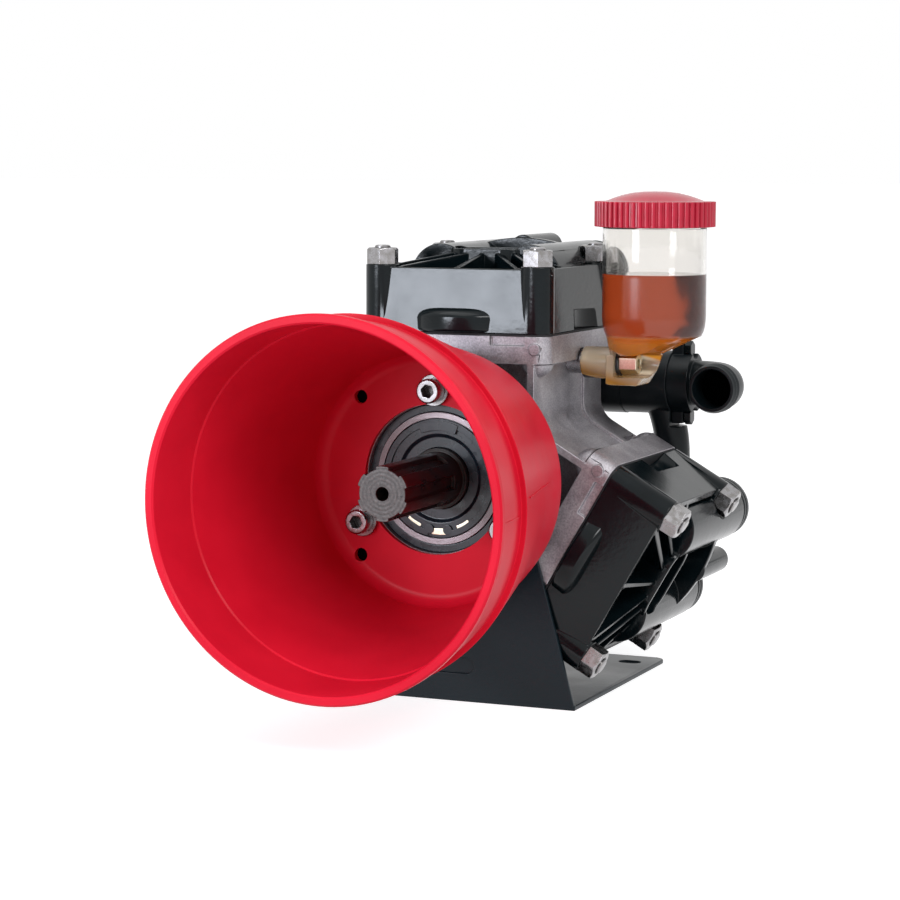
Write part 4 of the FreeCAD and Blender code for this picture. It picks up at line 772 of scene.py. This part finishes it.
# Glass-filled nylon: moulded black, satin, with a fine frost of fibre about 0.9 mm long in the skin.
nylon, tree, shader, place = new_look("glass_filled_nylon", {"Specular IOR Level": 0.2})
fibre = add(tree, "ShaderNodeTexNoise", {"Scale": 1100.0, "Detail": 2.0}, {"Vector": place})
cloud = add(tree, "ShaderNodeTexNoise", {"Scale": 45.0, "Detail": 4.0}, {"Vector": place})
tone = add(tree, "ShaderNodeValToRGB", {}, {"Fac": cloud.outputs["Fac"]})
tone.color_ramp.elements[0].color = linear("#04090B")
tone.color_ramp.elements[1].color = linear("#0E161A")
tree.links.new(tone.outputs["Color"], shader.inputs["Base Color"])
dull = add(tree, "ShaderNodeMapRange", {"From Min": 0.3, "From Max": 0.75, "To Min": 0.28, "To Max": 0.44},
           {"Value": cloud.outputs["Fac"]})
tree.links.new(dull.outputs[0], shader.inputs["Roughness"])
skin = add(tree, "ShaderNodeBump", {"Strength": 0.12, "Distance": 0.0002}, {"Height": fibre.outputs["Fac"]})
tree.links.new(skin.outputs[0], shader.inputs["Normal"])
for key in HEAD_TURNS:
    build = bmesh.new()
    for side in (-1, 1):
        chamber = Matrix.Translation((side * CAP_REACH[0], 0, CAP_REACH[1]))
        spun(build, CAP_SECTION, 72, chamber @ turn_about(-90, "X"))
    caps = shaped("valve_cap_pair_" + key, build)
    caps.data.transform(at_head(key, MM))
    dressed(rounded(caps, 0.3), nylon, "black_plastic", "body", "valve_caps_" + key)
build = bmesh.new()
spun(build, INLET_COLLAR, 72, Matrix.Translation((0, *INLET)) @ turn_about(90, "Y"))
ring_pipe = rounded(copied("suction_manifold", "suction_ring_pipe"), 0.6)
with_more(ring_pipe, shaped("inlet_collar", build))
dressed(ring_pipe, nylon, "black_plastic", "body", "suction_manifold")
star = rounded(copied("delivery_manifold", "delivery_star"), 0.6)
dressed(star, enamel, "black_paint", "body", "delivery_manifold")

# Suction elbow: a moulded nylon hose tail that turns from the inlet towards the shaft end, held by
# two blackened screws through its ears.

elbow = rounded(copied("suction_elbow", "hose_tail_elbow"), 0.5)
dressed(elbow, nylon, "black_plastic", "body", "suction_elbow")
ear_screws = rounded(copied("elbow_bolts", "blackened_screws"), 0.5)
dressed(ear_screws, enamel, "black_paint", "body", "elbow_bolts")

# Oil cup: blown in clear polycarbonate with a lopsided funnel, screwed to the crankcase by a bolt
# through its stem. Amber oil fills it to a little over half.

CUP = (116, -24)
BOLT_HEIGHT = 222
BOWL = [(116, 31.5, 241), (116, 32.8, 243.9), (116, 33.6, 247), (116, 34.05, 250.5), (116, 34.2, 254)]
FUNNEL_FOOT = (103, 16.5, 228)
NECK = [(116, 34.2, 311.5), (116, 33.7, 312), (116, 33, 312), (116, 33, 325)]
OIL_LEVEL = 281.5
INSIDE = [(116, 32, OIL_LEVEL + 0.05), (116, 32, 310.6), (116, 30.8, 312.6), (116, 30.8, 326)]
STEM = [(86.5, 208), (109, 208), (115, 217), (119.2, 228.3), (86.5, 228.3)]
STEM_WIDTH = (12, 36)
TUBE = [(0, 68), (9.8, 68), (10.6, 68.8), (10.6, 92), (0, 92)]
BOLT_ROOM = [(0, 67), (5.3, 67), (5.3, 91.5), (9.6, 92), (9.6, 122), (0, 122)]
WINDOW = [(92, 213), (124, 213), (124, 230.8), (92, 230.8)]
WINDOW_DEPTH = (24, 40)
TINTED_TO = (239.8, 241.5)
MILKY_TO = (236, 242)
FROSTED_TO = (279, 281.5)
DEEP_FROM = (240.5, 242.5)


def blown(build, rings):
    """Solid through level circles, each given by the x of its middle, its radius and its height."""
    turns = [2 * math.pi * k / 96 for k in range(96)]
    loops = [[build.verts.new((x + radius * math.cos(t), CUP[1] + radius * math.sin(t), z)) for t in turns]
             for x, radius, z in rings]
    build.faces.new(loops[0][::-1])
    build.faces.new(loops[-1])
    for low, high in zip(loops, loops[1:]):
        skirt(build, low, high)


# Clear polycarbonate: water-clear wall with ripples of about 8 mm, milky and pale beige in its thick
# stem. Its funnel is painted with the amber of the oil in it, as painted light coming through the
# oil, and the stem's foot with a painted amber reflection. It has no inner wall below the level, as
# oil of the same index hides it there.
clear, tree, shader, place = new_look("clear_polycarbonate", {"Transmission Weight": 1.0, "IOR": 1.49})
height = add(tree, "ShaderNodeSeparateXYZ", {}, {"Vector": place})
leaning = add(tree, "ShaderNodeMath", {"operation": "MULTIPLY_ADD", 1: 0.3},
              {0: height.outputs["X"], 2: height.outputs["Z"]})
up = add(tree, "ShaderNodeMapRange", {"From Min": 0.235, "From Max": 0.265}, {"Value": leaning.outputs[0]})
# Painted light: amber at the stem's foot is a painted reflection, beige in the stem is its own tint, and amber
# in the funnel is the oil's colour with painted light through the oil.
tint_and_oil_light = add(tree, "ShaderNodeValToRGB", {}, {"Fac": up.outputs[0]})
for spot, tint in ((0.0, "#DDA24A"), (0.1, "#DDA24A"), (0.36, "#EADCC2"), (0.76, "#EADCC2"),
                   (0.82, "#F2A836")):
    stop = tint_and_oil_light.color_ramp.elements.new(spot)
    stop.color = linear(tint)
tint_and_oil_light.color_ramp.elements[-1].color = linear("#F2A836")
above = add(tree, "ShaderNodeMapRange", {"From Min": TINTED_TO[0] * MM, "From Max": TINTED_TO[1] * MM},
            {"Value": height.outputs["Z"]})
wall = add(tree, "ShaderNodeMix", {"data_type": "RGBA", 7: linear("#F4F2EF")},
           {0: above.outputs[0], 6: tint_and_oil_light.outputs["Color"]})
tree.links.new(wall.outputs[2], shader.inputs["Base Color"])
frost = add(tree, "ShaderNodeMapRange",
            {"From Min": FROSTED_TO[0] * MM, "From Max": FROSTED_TO[1] * MM, "To Min": 0.22, "To Max": 0.04},
            {"Value": height.outputs["Z"]})
tree.links.new(frost.outputs[0], shader.inputs["Roughness"])
milk = add(tree, "ShaderNodeMapRange",
           {"From Min": MILKY_TO[0] * MM, "From Max": MILKY_TO[1] * MM, "To Min": 0.62, "To Max": 1.0},
           {"Value": height.outputs["Z"]})
tree.links.new(milk.outputs[0], shader.inputs["Transmission Weight"])
ripple = add(tree, "ShaderNodeTexNoise", {"Scale": 120.0, "Detail": 1.0}, {"Vector": place})
skin = add(tree, "ShaderNodeBump", {"Strength": 0.05, "Distance": 0.0002}, {"Height": ripple.outputs["Fac"]})
tree.links.new(skin.outputs[0], shader.inputs["Normal"])

across = turn_about(90, "X")
along_bolt = Matrix.Translation((0, CUP[1], BOLT_HEIGHT)) @ turn_about(90, "Y")
build = bmesh.new()
blown(build, [FUNNEL_FOOT] + BOWL + NECK)
cup = shaped("clear_cup", build)
build = bmesh.new()
slab(build, STEM, *STEM_WIDTH, across)
carved(cup, rounded(shaped("cup_stem", build), 1.2, 3), "UNION")
build = bmesh.new()
spun(build, TUBE, 64, along_bolt)
carved(cup, shaped("cup_tube", build), "UNION")
build = bmesh.new()
blown(build, INSIDE)
carved(cup, shaped("cup_inside", build))
build = bmesh.new()
spun(build, BOLT_ROOM, 64, along_bolt)
carved(cup, shaped("bolt_room", build))
build = bmesh.new()
slab(build, WINDOW, *WINDOW_DEPTH, across)
dressed(carved(cup, shaped("bolt_window", build)), clear, "clear_plastic", "body", "oil_cup")

# Amber oil: clear but deep-coloured, so that light comes through orange, and yellow in the funnel.
# It has nearly the index of the wall round it, so its own surface neither bends nor mirrors light.
amber, tree, shader, place = new_look("amber_gear_oil", {"Roughness": 0.0, "IOR": 1.01})
height = add(tree, "ShaderNodeSeparateXYZ", {}, {"Vector": place})
depth = add(tree, "ShaderNodeMapRange", {"From Min": DEEP_FROM[0] * MM, "From Max": DEEP_FROM[1] * MM},
            {"Value": height.outputs["Z"]})
tint = add(tree, "ShaderNodeMix", {"data_type": "RGBA", 6: linear("#F6AC2E"), 7: linear("#A6441F")},
           {0: depth.outputs[0]})
tree.links.new(tint.outputs[2], shader.inputs["Base Color"])
murk = add(tree, "ShaderNodeMapRange",
           {"From Min": DEEP_FROM[0] * MM, "From Max": DEEP_FROM[1] * MM, "To Min": 0.35, "To Max": 0.92},
           {"Value": height.outputs["Z"]})
tree.links.new(murk.outputs[0], shader.inputs["Transmission Weight"])
dressed(copied("oil", "oil_charge"), amber, "oil", "body", "oil")

dressed(rounded(copied("cup_bolt", "cup_stem_bolt"), 0.4), bright, "zinc_steel", "body", "cup_bolt")
dressed(rounded(copied("cup_washer", "cup_seal_washer"), 0.3), rubber, "black_rubber", "body", "cup_washer")
dressed(rounded(copied("cup_spacer", "cup_spacer_tube"), 0.4), zinc, "zinc_steel", "body", "cup_spacer")

# Cup cap: a screw cap moulded in red plastic, its side gripped by a ring of upright ribs and its
# top a shallow smooth dome.

CAP_LOW = 312.3
CAP_RIM = 16.7
CAP_RADIUS = 38
RIB_COUNT = 54
RIB_RADIUS = 1.65

dome = CAP_LOW + CAP_RIM
build = bmesh.new()
spun(build, [(33.3, CAP_LOW), (CAP_RADIUS - 0.6, CAP_LOW), (CAP_RADIUS, CAP_LOW + 0.6),
             (CAP_RADIUS, dome - 0.4), (CAP_RADIUS - 0.6, dome), (32.5, dome + 0.3), (30.5, dome + 0.9),
             (27, dome + 2.3), (22, dome + 3.9), (15.2, dome + 5.5), (8, dome + 6.3), (0, dome + 6.5),
             (0, 325.4), (33.3, 325.4)], 96)
cap = shaped("cap_body", build)

# Cap plastic: moulded polypropylene, red with a pinkish bloom, satin, with flow marks of about 7 mm.
bloom, tree, shader, place = new_look("red_polypropylene", {"Roughness": 0.24, "Specular IOR Level": 0.4})
flow = add(tree, "ShaderNodeTexNoise", {"Scale": 150.0, "Detail": 3.0}, {"Vector": place})
tone = add(tree, "ShaderNodeValToRGB", {}, {"Fac": flow.outputs["Fac"]})
tone.color_ramp.elements[0].color = linear("#A0122C")
tone.color_ramp.elements[1].color = linear("#BC1D39")
tree.links.new(tone.outputs["Color"], shader.inputs["Base Color"])
skin = add(tree, "ShaderNodeBump", {"Strength": 0.1, "Distance": 0.0003}, {"Height": flow.outputs["Fac"]})
tree.links.new(skin.outputs[0], shader.inputs["Normal"])
build = bmesh.new()
slab(build, arc((0, 0), RIB_RADIUS, -100, 100, 8), CAP_LOW + 0.2, dome)
rib = rounded(shaped("rib_pattern", build), 0.3)
ribs = ring_of("cap_ribs", rib, bloom, RIB_COUNT, CAP_RADIUS + 0.1, 0, 0.0, 1)
with_more(cap, ribs)
cap.data.transform(Matrix.Translation((CUP[0] * MM, CUP[1] * MM, 0)))
dressed(cap, bloom, "red_cap", "cap", "cup_cap", smooth=30)

# Colours come out as they are written.

scene.view_settings.view_transform = "Standard"
